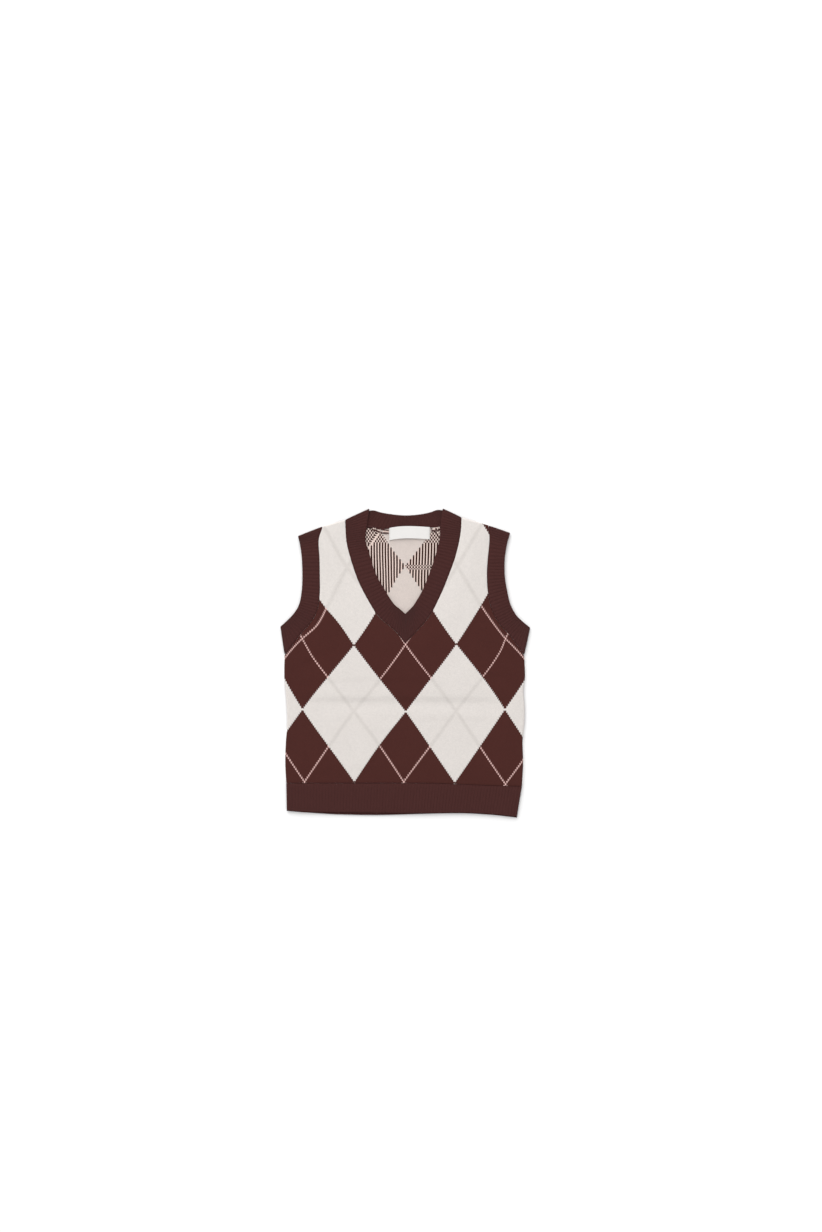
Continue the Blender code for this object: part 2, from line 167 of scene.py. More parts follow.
# Crossings of a band: where its seam and its finished edge lie, from one end to the other
Crossing = namedtuple("Crossing", "seam_x seam_y edge_x edge_y")
LEFT_ARMHOLE = (
    Crossing(-94.8, 157.2, -123.3, 146.0),
    Crossing(-99.5, 141.0, -121.0, 136.0),
    Crossing(-98.6, 121.0, -118.9, 121.0),
    Crossing(-98.2, 100.0, -118.2, 100.0),
    Crossing(-98.3, 79.0, -119.1, 82.0),
    Crossing(-101.0, 61.0, -122.1, 67.2),
    Crossing(-108.8, 46.0, -128.0, 57.0),
    Crossing(-121.0, 32.0, -135.3, 49.2),
    Crossing(-138.7, 9.0, -143.6, 41.6),
)
RIGHT_ARMHOLE = (
    Crossing(95.6, 158.2, 120.5, 149.6),
    Crossing(96.8, 141.5, 116.8, 136.0),
    Crossing(94.8, 119.0, 114.3, 119.0),
    Crossing(93.9, 101.0, 114.4, 101.0),
    Crossing(95.2, 80.0, 116.5, 86.0),
    Crossing(100.0, 60.0, 120.6, 68.4),
    Crossing(108.8, 44.0, 127.2, 55.6),
    Crossing(121.0, 30.5, 135.0, 47.6),
    Crossing(136.7, 8.5, 143.6, 40.5),
)

# The neckband's seam lies up to 1.7 mm off the solids' seam here, and its right edge up to 1.1 mm
LEFT_NECK = (
    Crossing(0.1, 22.3, 0.1, 56.6),
    Crossing(-13.0, 38.2, -6.9, 62.6),
    Crossing(-30.0, 52.6, -13.9, 68.9),
    Crossing(-43.7, 74.1, -23.9, 84.6),
    Crossing(-54.8, 96.5, -34.2, 103.2),
    Crossing(-63.0, 121.0, -41.4, 126.0),
    Crossing(-67.2, 138.0, -45.6, 141.0),
    Crossing(-68.3, 150.5, -44.4, 155.5),
    Crossing(-69.0, 164.8, -41.3, 177.6),
)
RIGHT_NECK = (
    Crossing(0.1, 22.3, 0.1, 56.6),
    Crossing(13.2, 36.6, 5.6, 62.0),
    Crossing(27.8, 53.6, 10.6, 67.8),
    Crossing(40.1, 77.3, 20.3, 84.6),
    Crossing(48.8, 98.0, 28.9, 105.8),
    Crossing(57.1, 120.7, 35.6, 126.6),
    Crossing(61.9, 140.0, 39.5, 142.5),
    Crossing(63.9, 152.9, 40.4, 158.0),
    Crossing(64.7, 167.6, 43.2, 177.7),
)
BACK_NECK = (
    Crossing(-69.0, 164.8, -41.3, 177.6),
    Crossing(-55.5, 157.8, -35.4, 175.2),
    Crossing(-39.4, 154.6, -26.8, 172.8),
    Crossing(-19.9, 154.0, -13.8, 170.7),
    Crossing(0.2, 155.4, 0.8, 169.6),
    Crossing(20.4, 155.2, 16.0, 170.7),
    Crossing(37.6, 156.2, 27.6, 172.9),
    Crossing(51.5, 160.0, 36.4, 175.8),
    Crossing(64.7, 167.6, 43.2, 177.7),
)

# The hems' bottom edges: the back one shows a little below the front one
Hem = namedtuple("Hem", "x front_y back_y")
HEMS = (
    Hem(-136.2, -169.1, -170.0),
    Hem(-118.8, -170.6, -171.6),
    Hem(-82.0, -171.2, -173.8),
    Hem(-32.5, -171.9, -174.7),
    Hem(16.9, -172.3, -173.5),
    Hem(65.2, -171.7, -172.7),
    Hem(102.0, -173.6, -174.7),
    Hem(128.3, -176.4, -177.7),
)

# The front hem's seam sinks to the right of this place, and the cloth above it follows as far up
# as the sag reaches. In the solids it is level
SAG_FROM = 15.0
SEAM_SAG = 3.6
SAG_REACH = 30.0

# Soft troughs across the front: the middle of each, its length, its half width and its depth.
# Their upper sides are steeper than their lower ones
Crease = namedtuple("Crease", "x y half_length half_width depth slope")
STEEP_SIDE = 0.42
GENTLE_SIDE = 1.6
DEEPEST_TROUGH = -0.5
CREASES = (
    Crease(-2.0, -44.6, 110.0, 7.5, 1.35, 0.0),
    Crease(-40.0, -21.0, 60.0, 6.0, 0.40, 0.03),
    Crease(30.0, -65.0, 74.0, 6.0, 0.35, -0.03),
    Crease(108.0, -16.0, 20.0, 5.0, 0.45, -0.15),
    Crease(-110.0, 2.0, 22.0, 6.0, 0.45, 0.45),
    Crease(0.0, 12.0, 34.0, 8.0, 0.30, 0.0),
)

# Shallower ones of the same kind in the back's outer face, which lies underneath
UNDER_CREASES = (
    Crease(10.0, -52.0, 96.0, 8.0, 0.35, 0.02),
    Crease(-40.0, 20.0, 52.0, 7.0, 0.25, -0.10),
    Crease(46.0, 84.0, 40.0, 7.0, 0.22, 0.15),
)

# Where the argyle lies: places on a panel, each with its wale and its course, counted from the
# point in the front's middle where two cream diamonds meet. Towards the shoulders the cloth is
# stretched, and at the sides it is pulled up. The back lies half a repeat aside
Mark = namedtuple("Mark", "x y wale course")
FRONT_MARKS = (
    Mark(0.5, -56.3, 0, 0),
    Mark(-59.0, -55.3, -34.5, 0),
    Mark(58.3, -55.3, 35.5, 0),
    Mark(-118.0, -53.8, -70, 0),
    Mark(-89.1, -17.2, -52.5, 35),
    Mark(114.4, -53.9, 70, 0),
    Mark(-1.6, -136.9, 0.5, -70),
    Mark(-58.4, -137.2, -35, -70),
    Mark(56.9, -138.1, 35, -70),
    Mark(-115.6, -136.9, -69.5, -70),
    Mark(115.2, -139.6, 70.5, -70),
    Mark(134.3, -113.6, 81.9, -47.2),
    Mark(97.4, -113.7, 59.8, -48.6),
    Mark(0.4, 20.8, 0.5, 70),
    Mark(-59.0, 20.0, -35, 70),
    Mark(58.7, 21.1, 35, 70),
    Mark(-118.3, 27.5, -69.5, 70),
    Mark(115.3, 27.6, 70.5, 70),
    Mark(-107.7, 8.5, -62, 55),
    Mark(111.1, 16.6, 66.1, 61.3),
    Mark(97.1, -5.6, 57.4, 43.9),
    Mark(-138.3, 6.2, -82.3, 45.4),
    Mark(136.4, 4.2, 82.3, 45.4),
    Mark(-90.4, 62.5, -52, 105),
    Mark(-101.2, 43.0, -61.7, 85.7),
    Mark(87.5, 65.2, 53, 105),
    Mark(-34.6, 56.4, -21, 98),
    Mark(32.3, 59.0, 20, 100),
    Mark(-66.8, 109.8, -34.5, 140),
    Mark(59.7, 111.2, 35.5, 140),
    Mark(-93.4, 155.8, -51.6, 173.2),
    Mark(87.1, 160.1, 52.1, 174.2),
)
BACK_MARKS = (
    Mark(0.0, 111.2, 35, 70),
    Mark(-27.8, 150.0, 18.2, 103.6),
    Mark(-39.7, 129.3, 11, 86),
    Mark(-26.9, 129.3, 19, 86),
    Mark(-13.9, 129.3, 27, 86),
    Mark(-29.3, 101.7, 17, 62.1),
    Mark(-10.4, 101.7, 29, 62.1),
    Mark(-18.6, 81.6, 23.5, 47.3),
    Mark(22.7, 141.6, 48, 97),
    Mark(12.3, 129.3, 42, 86),
    Mark(22.5, 129.3, 48, 86),
    Mark(32.7, 129.3, 54, 86),
    Mark(11.3, 101.7, 42, 62.1),
    Mark(24.9, 101.7, 50, 62.1),
    Mark(18.1, 83.3, 46, 47),
    Mark(-95.0, 150.0, -21.7, 103.5),
    Mark(95.0, 150.0, 91.1, 103.5),
    Mark(-100.0, -138.0, -24.7, -148),
    Mark(100.0, -138.0, 94.1, -148),
)

# The cloth may pass a little beside a mark. Nearer than the second of these counts as on it
MARK_EASE = 6.0
AT_MARK = 0.001

# The back's inside is checked above the first of these courses, and to the right of the middle
# crossing between the others. Inside, each overlay line is pale with a brown one to its left.
# Shift says how far to the left of the chart's line the pale one begins. All are half wales
Line = namedtuple("Line", "shift pale brown")
CHECKED_FROM = 92
CHECKED_ROWS = (67, 71)
LEFT_LINE = Line(1.0, 3.0, 1.0)
RIGHT_LINE = Line(-6.0, 2.0, 2.0)

# How far a dark stitch of the inside spreads over its neighbours, in wales
DARK_SPREAD = 0.07

# The label, on the inside of the back: its middle, its size and its woven tape
LABEL_X = 4.9
LABEL_Y = 149.4
LABEL_WIDTH = 46.8
LABEL_HEIGHT = 14.1
LABEL_BOW = 1.9
LABEL_BOW_SKEW = 0.75
LABEL_TILT = 0.027
LABEL_LIFT = 0.6
LABEL_TOP = 1.0
LABEL_TAPE = 0.36
LABEL_TURNED_UNDER = 6.0
LABEL_COLUMNS = 36
LABEL_ROWS = 12
LABEL_UNDER_STEPS = 6
LABEL_TURN_STEPS = 8

# Threads of the tape for each millimetre, and how its relief and its tone vary, with painted shade
# between the wefts
TAPE_WARPS = 3.0
TAPE_WEFTS = 4.0
WARP_SHARE = 0.3
WEFT_PAINTED_SHADE = 0.05
TAPE_SHADE = 0.93
TAPE_CLOUD_SHADE = 0.04
TAPE_CLOUDS_PER_METRE = 90.0
TAPE_RELIEF = 0.00005

# The stitches over each end of the label: how far in they lie, and how their tilt changes
LABEL_STITCHES = 6
LABEL_STITCH_LENGTH = 1.7
LABEL_STITCH_RADIUS = 0.16
LABEL_STITCH_START = 0.6
LABEL_STITCH_INSET = 0.9
LABEL_STITCH_TILT = 0.18
LABEL_TILT_STEP = 2.4

# How a stitch of thread arches out of the cloth: along it in half lengths, up in diameters, and
# its radius as a share of the thread's
Turn = namedtuple("Turn", "along up radius")
STITCH_ARCH = (
    Turn(-1.0, -0.5, 0.55),
    Turn(-0.85, 0.15, 0.9),
    Turn(-0.4, 0.75, 1.0),
    Turn(0.0, 0.9, 1.05),
    Turn(0.4, 0.75, 1.0),
    Turn(0.85, 0.15, 0.9),
    Turn(1.0, -0.5, 0.55),
)
STITCH_SIDES = 8
THREAD_PLIES_PER_METRE = 1600.0
THREAD_LEAST_LIGHT = 0.8
THREAD_SHADE = 0.3
THREAD_RELIEF = 0.00008

# Loose chains of yarn on the inside of the back neck, beside the label. A link has two legs, each
# tilted and set aside from its line
Chain = namedtuple("Chain", "pale points")
CHAINS = (
    Chain(True, ((-37.6, 154.6), (-33.4, 154.2))),
    Chain(True, ((-32.0, 152.6), (-28.2, 152.2))),
    Chain(True, ((-25.6, 151.4), (-18.7, 150.6))),
    Chain(False, ((-43.0, 157.0), (-38.4, 156.2), (-33.0, 155.6))),
    Chain(False, ((-38.6, 153.2), (-34.0, 152.6), (-30.2, 150.6), (-24.4, 149.2), (-19.0, 149.2))),
    Chain(False, ((-32.8, 154.4), (-27.0, 153.6), (-23.4, 152.8), (-18.8, 152.3))),
    Chain(True, ((32.2, 153.6), (34.0, 153.6))),
    Chain(True, ((36.2, 155.0), (38.4, 155.2))),
    Chain(False, ((29.0, 154.8), (30.9, 153.8))),
    Chain(False, ((34.9, 154.9), (35.6, 153.6))),
    Chain(False, ((39.4, 154.2), (40.6, 153.4))),
    Chain(False, ((30.0, 151.9), (34.0, 151.9), (38.8, 152.8))),
)
LINK_PITCH = 1.7
LINK_LENGTH = 2.0
LINK_RADIUS = 0.36
LINK_SPREAD = 0.42
LINK_TILT = 0.42
LINK_UNEVENNESS = 0.12
LINK_TILT_STEP = 1.7

# The camera looks straight down on the middle of the photograph. A pixel is this wide there
IMAGE_PIXELS = (822, 1232)
PIXEL = 1.15
SENSOR = 36.0
CAMERA_X = 6.6
CAMERA_Y = 54.0

# The stage in metres: the floor just under the cloth, and a large lamp to the upper left
FLOOR_SIZE = 12.0
FLOOR_DROP = 0.0001
FLOOR_CLOUDS_PER_METRE = 1.5
FLOOR_SHADE = 0.02
FLOOR_RELIEF = 0.0001
LAMP_SIZE = 5.0
LAMP_PLACE = (-1.2, 3.4, 2.6)
CLIP_END = 20.0


class VestCloth(bpy.types.PropertyGroup):
    """Sizes of the knitted cloth."""

    rib_pitch: bpy.props.FloatProperty(
        name="Rib pitch",
        description="From one rib of the hem and the bands to the next",
        default=0.00345,
        min=0.0015,
        max=0.008,
        unit="LENGTH",
    )
    rib_relief: bpy.props.FloatProperty(
        name="Rib relief",
        description="How far a rib stands out of the valley beside it",
        default=0.00042,
        min=0.0,
        max=0.0008,
        unit="LENGTH",
    )
    stitch_relief: bpy.props.FloatProperty(
        name="Stitch relief",
        description="How far a stitch stands out of the cloth",
        default=0.00032,
        min=0.0,
        max=0.001,
        unit="LENGTH",
    )
    loft: bpy.props.FloatProperty(
        name="Loft",
        description="How far the middle of the front lies above its rim",
        default=0.0009,
        min=0.0,
        max=0.004,
        unit="LENGTH",
    )
    creasing: bpy.props.FloatProperty(
        name="Creasing",
        description="Depth of the creases, as a share of what the cloth shows",
        default=1.0,
        min=0.0,
        max=1.3,
        subtype="FACTOR",
    )


def yarn_colour(name, description, colour):
    """A colour that a user can change."""
    return bpy.props.FloatVectorProperty(
        name=name,
        description=description,
        default=colour,
        min=0.0,
        max=1.0,
        size=4,
        subtype="COLOR",
    )


class VestYarns(bpy.types.PropertyGroup):
    """Colours of the yarns and of the label."""

    brown: yarn_colour("Brown", "Dark diamonds", (0.0755, 0.0209, 0.0167, 1.0))
    rib_brown: yarn_colour("Rib brown", "Hem and bands", (0.0740, 0.0232, 0.0208, 1.0))
    cream: yarn_colour("Cream", "Light diamonds", (0.830, 0.780, 0.742, 1.0))
    cream_inside: yarn_colour("Cream inside", "Light yarn on the inside", (0.715, 0.628, 0.582, 1.0))
    brown_inside: yarn_colour("Brown inside", "Dark yarn on the inside", (0.0330, 0.0085, 0.0066, 1.0))
    stripe_inside: yarn_colour("Stripe inside", "Light stripes on the inside", (0.860, 0.690, 0.620, 1.0))
    line_on_brown: yarn_colour("Line on brown", "Overlay on dark diamonds", (0.930, 0.610, 0.565, 1.0))
    # Partly the overlay's yarn seen through the cream and partly painted shadow
    line_on_cream: yarn_colour("Line on cream", "Overlay behind the cream", (0.750, 0.702, 0.665, 1.0))
    label: yarn_colour("Label", "Woven label", (0.715, 0.698, 0.680, 1.0))


class VestStage(bpy.types.PropertyGroup):
    """The floor, the light and the camera."""

    floor: yarn_colour("Floor", "Plain floor", (0.900, 0.900, 0.900, 1.0))
    sky: bpy.props.FloatProperty(
        name="Sky",
        description="Strength of the even light from all round",
        default=0.82,
        min=0.0,
        max=3.0,
    )
    lamp: bpy.props.FloatProperty(
        name="Lamp",
        description="Power of the large soft lamp overhead",
        default=190.0,
        min=0.0,
        max=1000.0,
        unit="POWER",
    )
    lens: bpy.props.FloatProperty(
        name="Lens",
        description="Focal length of the camera",
        default=0.085,
        min=0.02,
        max=0.3,
        subtype="DISTANCE_CAMERA",
    )


class Sum:
    """A number in a material's nodes, on which sums are written as on any number."""

    def __init__(self, finish, socket):
        self.finish = finish
        self.socket = socket

    def work(self, operation, *values):
        return self.finish.number("ShaderNodeMath", {"operation": operation}, dict(enumerate(values)))

    def __add__(self, other):
        return self.work("ADD", self, other)

    def __radd__(self, other):
        return self.work("ADD", other, self)

    def __sub__(self, other):
        return self.work("SUBTRACT", self, other)

    def __rsub__(self, other):
        return self.work("SUBTRACT", other, self)

    def __mul__(self, other):
        return self.work("MULTIPLY", self, other)

    def __rmul__(self, other):
        return self.work("MULTIPLY", other, self)

    def __truediv__(self, other):
        return self.work("DIVIDE", self, other)

    def __mod__(self, other):
        return self.work("FLOORED_MODULO", self, other)

    def __lt__(self, other):
        return self.work("LESS_THAN", self, other)

    def __gt__(self, other):
        return self.work("GREATER_THAN", self, other)

    def __abs__(self):
        return self.work("ABSOLUTE", self)

    def floor(self):
        return self.work("FLOOR", self)

    def cosine(self):
        return self.work("COSINE", self)

    def most(self, other):
        return self.work("MAXIMUM", self, other)

    def least(self, other):
        return self.work("MINIMUM", self, other)


class Finish:
    """One material. Its add method makes any node from its type, its settings and its values."""

    def __init__(self, name, roughness, sheen):
        self.data = bpy.data.materials.new(name)
        self.data.use_nodes = True
        self.tree = self.data.node_tree
        self.shader = self.tree.nodes["Principled BSDF"]
        self.shader.inputs["Roughness"].default_value = roughness
        self.shader.inputs["Specular IOR Level"].default_value = 0.12
        self.shader.inputs["Sheen Weight"].default_value = sheen
        self.shader.inputs["Sheen Roughness"].default_value = 0.5

    def plug(self, node, values):
        for key, value in values.items():
            if isinstance(value, Sum):
                value = value.socket
            if isinstance(value, bpy.types.NodeSocket):
                self.tree.links.new(value, node.inputs[key])
            else:
                node.inputs[key].default_value = value

    def add(self, kind, settings, values):
        node = self.tree.nodes.new(kind)
        for key, value in settings.items():
            setattr(node, key, value)
        self.plug(node, values)
        return node

    def number(self, kind, settings, values):
        return Sum(self, self.add(kind, settings, values).outputs[0])

    def cloth_place(self):
        """The wale and the course of a point, from the piece's own UV map."""
        uv = self.add("ShaderNodeUVMap", {"uv_map": "cloth"}, {})
        split = self.add("ShaderNodeSeparateXYZ", {}, {0: uv.outputs[0]})
        return Sum(self, split.outputs[0]), Sum(self, split.outputs[1])

    def mix(self, share, first, second):
        """The first colour where the share is 0, and the second where it is 1."""
        node = self.add("ShaderNodeMix", {"data_type": "RGBA"}, {0: share, 6: first, 7: second})
        return node.outputs[2]

    def dim(self, colour, light):
        """A colour with this much of its light."""
        return self.mix(light, (0.0, 0.0, 0.0, 1.0), colour)

    def chance(self, wale, course):
        """A number from 0 to 1 that differs from one stitch to the next."""
        cell = self.add("ShaderNodeCombineXYZ", {}, {0: wale, 1: course})
        kind = {"noise_dimensions": "2D"}
        return self.number("ShaderNodeTexWhiteNoise", kind, {"Vector": cell.outputs[0]})

    def cloud(self, scale, detail=3.0):
        """Soft unevenness over the whole piece, around 0.5."""
        place = self.add("ShaderNodeTexCoord", {}, {}).outputs["Object"]
        values = {"Vector": place, "Scale": scale, "Detail": detail}
        return self.number("ShaderNodeTexNoise", {}, values)

    def close(self, colour, height, depth):
        """Ends the material: its colour, and its relief of the given depth in metres."""
        relief = self.add("ShaderNodeBump", {}, {"Height": height, "Distance": depth, "Strength": 1.0})
        self.plug(self.shader, {"Base Color": colour, "Normal": relief.outputs[0]})
        return self.data


def hump(share):
    """A round hump over a share that goes from 0 to 1: 0 at its ends and 1 in its middle."""
    return share * (1.0 - share) * 4.0


def plain_stitches(wale, course):
    """The face of plain knitting: the height of its legs, and each point's column and row."""
    column = wale.floor()
    side = abs((wale - column) * 2.0 - 1.0)
    climb = course - side * STITCH_LEAN
    row = climb.floor()
    height = hump(climb - row) * (side * (1.0 - side) * LEG_SWELL + LEG_BASE)
    return height, column, row


def purl_stitches(wale, course):
    """The back of plain knitting, rows of small waves: their height, the column and the row."""
    column = wale.floor()
    climb = course + (wale * math.tau).cosine() * PURL_WAVE
    row = climb.floor()
    return hump(climb - row), column, row


def argyle(column, row):
    """The chart at a stitch: whether it is cream, and how far to its left each overlay line lies.

    The first line goes up to the left, the second down to the left. Both are in half wales.
    """
    across = (column + 0.5) / REPEAT_WALES
    along = (row + 0.5) / REPEAT_COURSES
    rising = ((across + along) * 0.5).floor()
    falling = ((across - along) * 0.5).floor()
    cream = 1.0 - (rising + falling) % 2.0
    whole = 2.0 * REPEAT_COURSES
    up = (column * 2.0 + row - (REPEAT_COURSES - 1)) % whole
    down = (column * 2.0 - row + REPEAT_COURSES) % whole
    return cream, up, down


def line_shade(wale, course):
    """How an overlay line that runs behind the cream darkens it, partly as its yarn seen through and
    partly as painted shadow: softly, from 0 to 1.
    """
    whole = 2.0 * REPEAT_COURSES
    rising = abs((wale * 2.0 + course - 1.0) % whole - REPEAT_COURSES)
    falling = abs((wale * 2.0 - course - 1.0) % whole - REPEAT_COURSES)
    near = (1.0 - rising.least(falling) / LINE_REACH).most(0.0)
    return near * near * (3.0 - near * 2.0)


def painted_shade_and_tone(finish, column, row, height, groove_painted_shade):
    """How much of its colour a stitch keeps: darker between its strands as painted shade, and a little
    different by chance.
    """
    # Painted shade: darker between the strands and lighter on their tops, from the stitches' own relief
    painted_groove_shade = height * groove_painted_shade + (1.0 - groove_painted_shade)
    least = 1.0 - CHANCE_SHADE / 2
    by_stitch = finish.chance(column, row) * CHANCE_SHADE + least
    by_place = finish.cloud(CLOUDS_PER_METRE) * CHANCE_SHADE + least
    return painted_groove_shade * by_stitch * by_place


def argyle_finish(name, cloth, yarns):
    """The outside of a panel: an argyle with fine overlay lines."""
    finish = Finish(name, YARN_ROUGHNESS, YARN_SHEEN)
    wale, course = finish.cloth_place()
    height, column, row = plain_stitches(wale, course)
    cream, up, down = argyle(column, row)
    full, half_hidden = (up < 1.0).most(down < 1.0), (up < 2.0).most(down < 2.0)
    dotted = full.most(half_hidden * HIDDEN_STITCH)
    dark = finish.mix(dotted, tuple(yarns.brown), tuple(yarns.line_on_brown))
    # Behind the cream the line is partly its own yarn seen through and partly painted shadow
    pale = finish.mix(line_shade(wale, course), tuple(yarns.cream), tuple(yarns.line_on_cream))
    colour = finish.mix(cream, dark, pale)
    # Painted shade between the strands, with a tone that differs by chance
    light = painted_shade_and_tone(finish, column, row, height, PLAIN_GROOVE_PAINTED_SHADE)
    return finish.close(finish.dim(colour, light), height, cloth.stitch_relief)


def backing_finish(name, cloth, yarns):
    """The inside of a panel: striped where its outside is brown, and checked in places.

    To the right of the middle crossing the stripes stand one wale aside.
    """
    finish = Finish(name, YARN_ROUGHNESS, YARN_SHEEN)
    wale, course = finish.cloth_place()
    height, column, row = purl_stitches(wale, course)
    cream, up, down = argyle(column, row)
    low, high = CHECKED_ROWS
    right = column > REPEAT_WALES - 0.5
    checked = (row > CHECKED_FROM).most((row > low - 0.5) * (row < high - 0.5) * right)
    aside = column + right
    stripe = aside % 2.0
    check = (aside + (row * 0.5).floor()) % 2.0
    spread_dark = abs(wale - column - 0.5) > 0.5 - DARK_SPREAD
    dark = (stripe + (check - stripe) * checked).most(spread_dark) * (1.0 - cream)
    for line, place in ((LEFT_LINE, down), (RIGHT_LINE, up)):
        beside = (place + (line.shift + line.brown)) % (2.0 * REPEAT_COURSES)
        is_brown = (beside < line.brown - 0.5) * (1.0 - cream)
        is_pale = (beside < line.brown + line.pale - 0.5) * (beside > line.brown - 0.5)
        dark = (dark * (1.0 - is_pale)).most(is_brown)
    ground = finish.mix(cream, tuple(yarns.stripe_inside), tuple(yarns.cream_inside))
    colour = finish.mix(dark, ground, tuple(yarns.brown_inside))
    # Painted shade between the purl waves, with a tone that differs by chance
    light = painted_shade_and_tone(finish, column, row, height, PURL_GROOVE_PAINTED_SHADE)
    return finish.close(finish.dim(colour, light), height, cloth.stitch_relief)


def rib_finish(name, cloth, yarns):
    """A rib of one plain wale and one purl wale, in brown."""
    finish = Finish(name, YARN_ROUGHNESS, YARN_SHEEN)
    wale, course = finish.cloth_place()
    height, column, row = plain_stitches(wale, course)
    raised = ((wale - RIB_CREST) * (math.tau / RIB_WALES)).cosine() * 0.5 + 0.5
    # Painted shade between the strands, with a tone that differs by chance
    light = painted_shade_and_tone(finish, column, row, height, RIB_GROOVE_PAINTED_SHADE)
    # Painted shade in the valleys beside each rib, lighter on its crest
    light = light * (raised * RIB_VALLEY_PAINTED_SHADE + (1.0 - RIB_VALLEY_PAINTED_SHADE))
    return finish.close(finish.dim(tuple(yarns.rib_brown), light), height, cloth.stitch_relief)


def label_finish(name, yarns):
    """A smooth woven tape: fine threads across, with a faint sheen."""
    finish = Finish(name, roughness=0.55, sheen=0.05)
    wale, course = finish.cloth_place()
    wefts = hump(course - course.floor())
    warps = ((wale * math.tau).cosine() * 0.5 + 0.5) * WARP_SHARE
    # Painted shade between the wefts, with a tone that differs by chance
    light = wefts * WEFT_PAINTED_SHADE + TAPE_SHADE + finish.cloud(TAPE_CLOUDS_PER_METRE) * TAPE_CLOUD_SHADE
    return finish.close(finish.dim(tuple(yarns.label), light), wefts + warps, TAPE_RELIEF)


def thread_finish(name, colour):
    """A soft two-ply thread."""
    finish = Finish(name, roughness=0.8, sheen=0.1)
    ply = finish.cloud(THREAD_PLIES_PER_METRE, detail=2.0)
    light = ply * THREAD_SHADE + THREAD_LEAST_LIGHT
    return finish.close(finish.dim(tuple(colour), light), ply, THREAD_RELIEF)


def floor_finish(name, colour):
    """A matt pale board with a barely uneven tone."""
    finish = Finish(name, roughness=0.85, sheen=0.0)
    tone = finish.cloud(FLOOR_CLOUDS_PER_METRE)
    light = tone * FLOOR_SHADE + (1.0 - FLOOR_SHADE / 2)
    return finish.close(finish.dim(tuple(colour), light), tone, FLOOR_RELIEF)


def smooth(values, t):
    """A Catmull-Rom curve through the values, with t counted in values from the first."""
    last = len(values) - 1
    i = min(int(t), last - 1)
    f = t - i
    before = values[i - 1] if i > 0 else 2 * values[0] - values[1]
    after = values[i + 2] if i + 2 <= last else 2 * values[last] - values[last - 1]
    start, end = values[i], values[i + 1]
    bend = 2 * before - 5 * start + 4 * end - after
    twist = 3 * (start - end) + after - before
    return start + 0.5 * f * ((end - before) + f * (bend + f * twist))


def smooth_at(table, key, column, position):
    """Reads a column of a table at a position between two of its rows, along a smooth curve."""
    keys = [getattr(row, key) for row in table]
    i = 0
    while i < len(keys) - 2 and position > keys[i + 1]:
        i += 1
    share = (position - keys[i]) / (keys[i + 1] - keys[i])
    return smooth([getattr(row, column) for row in table], i + min(max(share, 0.0), 1.0))


def spread(points, steps):
    """Points along a smooth curve through the given ones, with this many steps between them."""
    return [smooth(points, i / steps * (len(points) - 1)) for i in range(steps + 1)]


def seam_of(crossings):
    """A band's seam, crossing by crossing."""
    return [Vector((row.seam_x, row.seam_y, 0.0)) for row in crossings]


def edge_of(crossings):
    """A band's finished edge, crossing by crossing."""
    return [Vector((row.edge_x, row.edge_y, 0.0)) for row in crossings]


def curve_length(points):
    """The length of the smooth curve through the points."""
    places = spread(points, CURVE_STEPS * (len(points) - 1))
    return sum((b - a).length for a, b in zip(places, places[1:]))


def graded(length, steps):
    """Places from 0 to the length: close together at the start, then spread evenly."""
    near = list(EDGE_STEPS)
    even = steps - len(near) + 1
    return near[:-1] + [near[-1] + (length - near[-1]) * i / even for i in range(even + 1)]


class Outline:
    """A line in the plane that can say how far away it lies."""

    def __init__(self, points):
        self.points = points
        self.tree = KDTree(len(points))
        for i, point in enumerate(points):
            self.tree.insert(point, i)
        self.tree.balance()

    def distance(self, place):
        _, i, nearest = self.tree.find(place)
        for a, b in ((i - 1, i), (i, i + 1)):
            if a < 0 or b >= len(self.points):
                continue
            start, way = self.points[a], self.points[b] - self.points[a]
            share = min(max((place - start).dot(way) / way.length_squared, 0.0), 1.0)
            nearest = min(nearest, (place - start - way * share).length)
        return nearest


def make_piece(name, points, faces, cloth_map, materials, slots):
    """A closed mesh in metres from points in millimetres, with its faces out.

    The cloth map has the wale and the course of each corner of each face.
    """
    mesh = bpy.data.meshes.new(name)
    mesh.from_pydata([point * MM for point in points], [], faces)
    layer = mesh.uv_layers.new(name="cloth")
    layer.data.foreach_set("uv", [number for corner in cloth_map for number in corner])
    for material in materials:
        mesh.materials.append(material)
    mesh.polygons.foreach_set("material_index", slots)
    bm = bmesh.new()
    bm.from_mesh(mesh)
    bmesh.ops.recalc_face_normals(bm, faces=bm.faces)
    bm.to_mesh(mesh)
    bm.free()
    mesh.shade_smooth()
    mesh.set_sharp_from_angle(angle=SHARP_ANGLE)
    piece = bpy.data.objects.new(name, mesh)
    bpy.context.scene.collection.objects.link(piece)
    return piece


def lay(piece, node, slot, area):
    """Hangs a piece of cloth under the root and hides the solid it stands for. The slot and the area, how
    it was cut and lies, are not used.
    """
    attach(piece, "root")
    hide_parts(node)


def set_in_fold(seam, edge, end):
    """Moves one end of a strip to the axis of its fold, so that the fold reaches its outline.

    It returns the ways out of the seam and of the edge, each 1 mm across the fold for a unit.
    """
    tip, beside = end
    along = (edge[tip] - seam[tip]).normalized()
    across = Vector((-along.y, along.x, 0.0))
    ways = [line[tip] - line[beside] for line in (seam, edge)]
    outs = [way / abs(way.dot(across)) for way in ways]
    for line, out in zip((seam, edge), outs):
        line[tip] = line[tip] - out * OUTER
    return outs


def turned_rows(axis, corner):
    """The last rows at a shoulder, where the wall turns down from the fold's axis."""
    return [axis.lerp(corner, 1 - distance / OUTER) for distance in SHOULDER_STEPS]


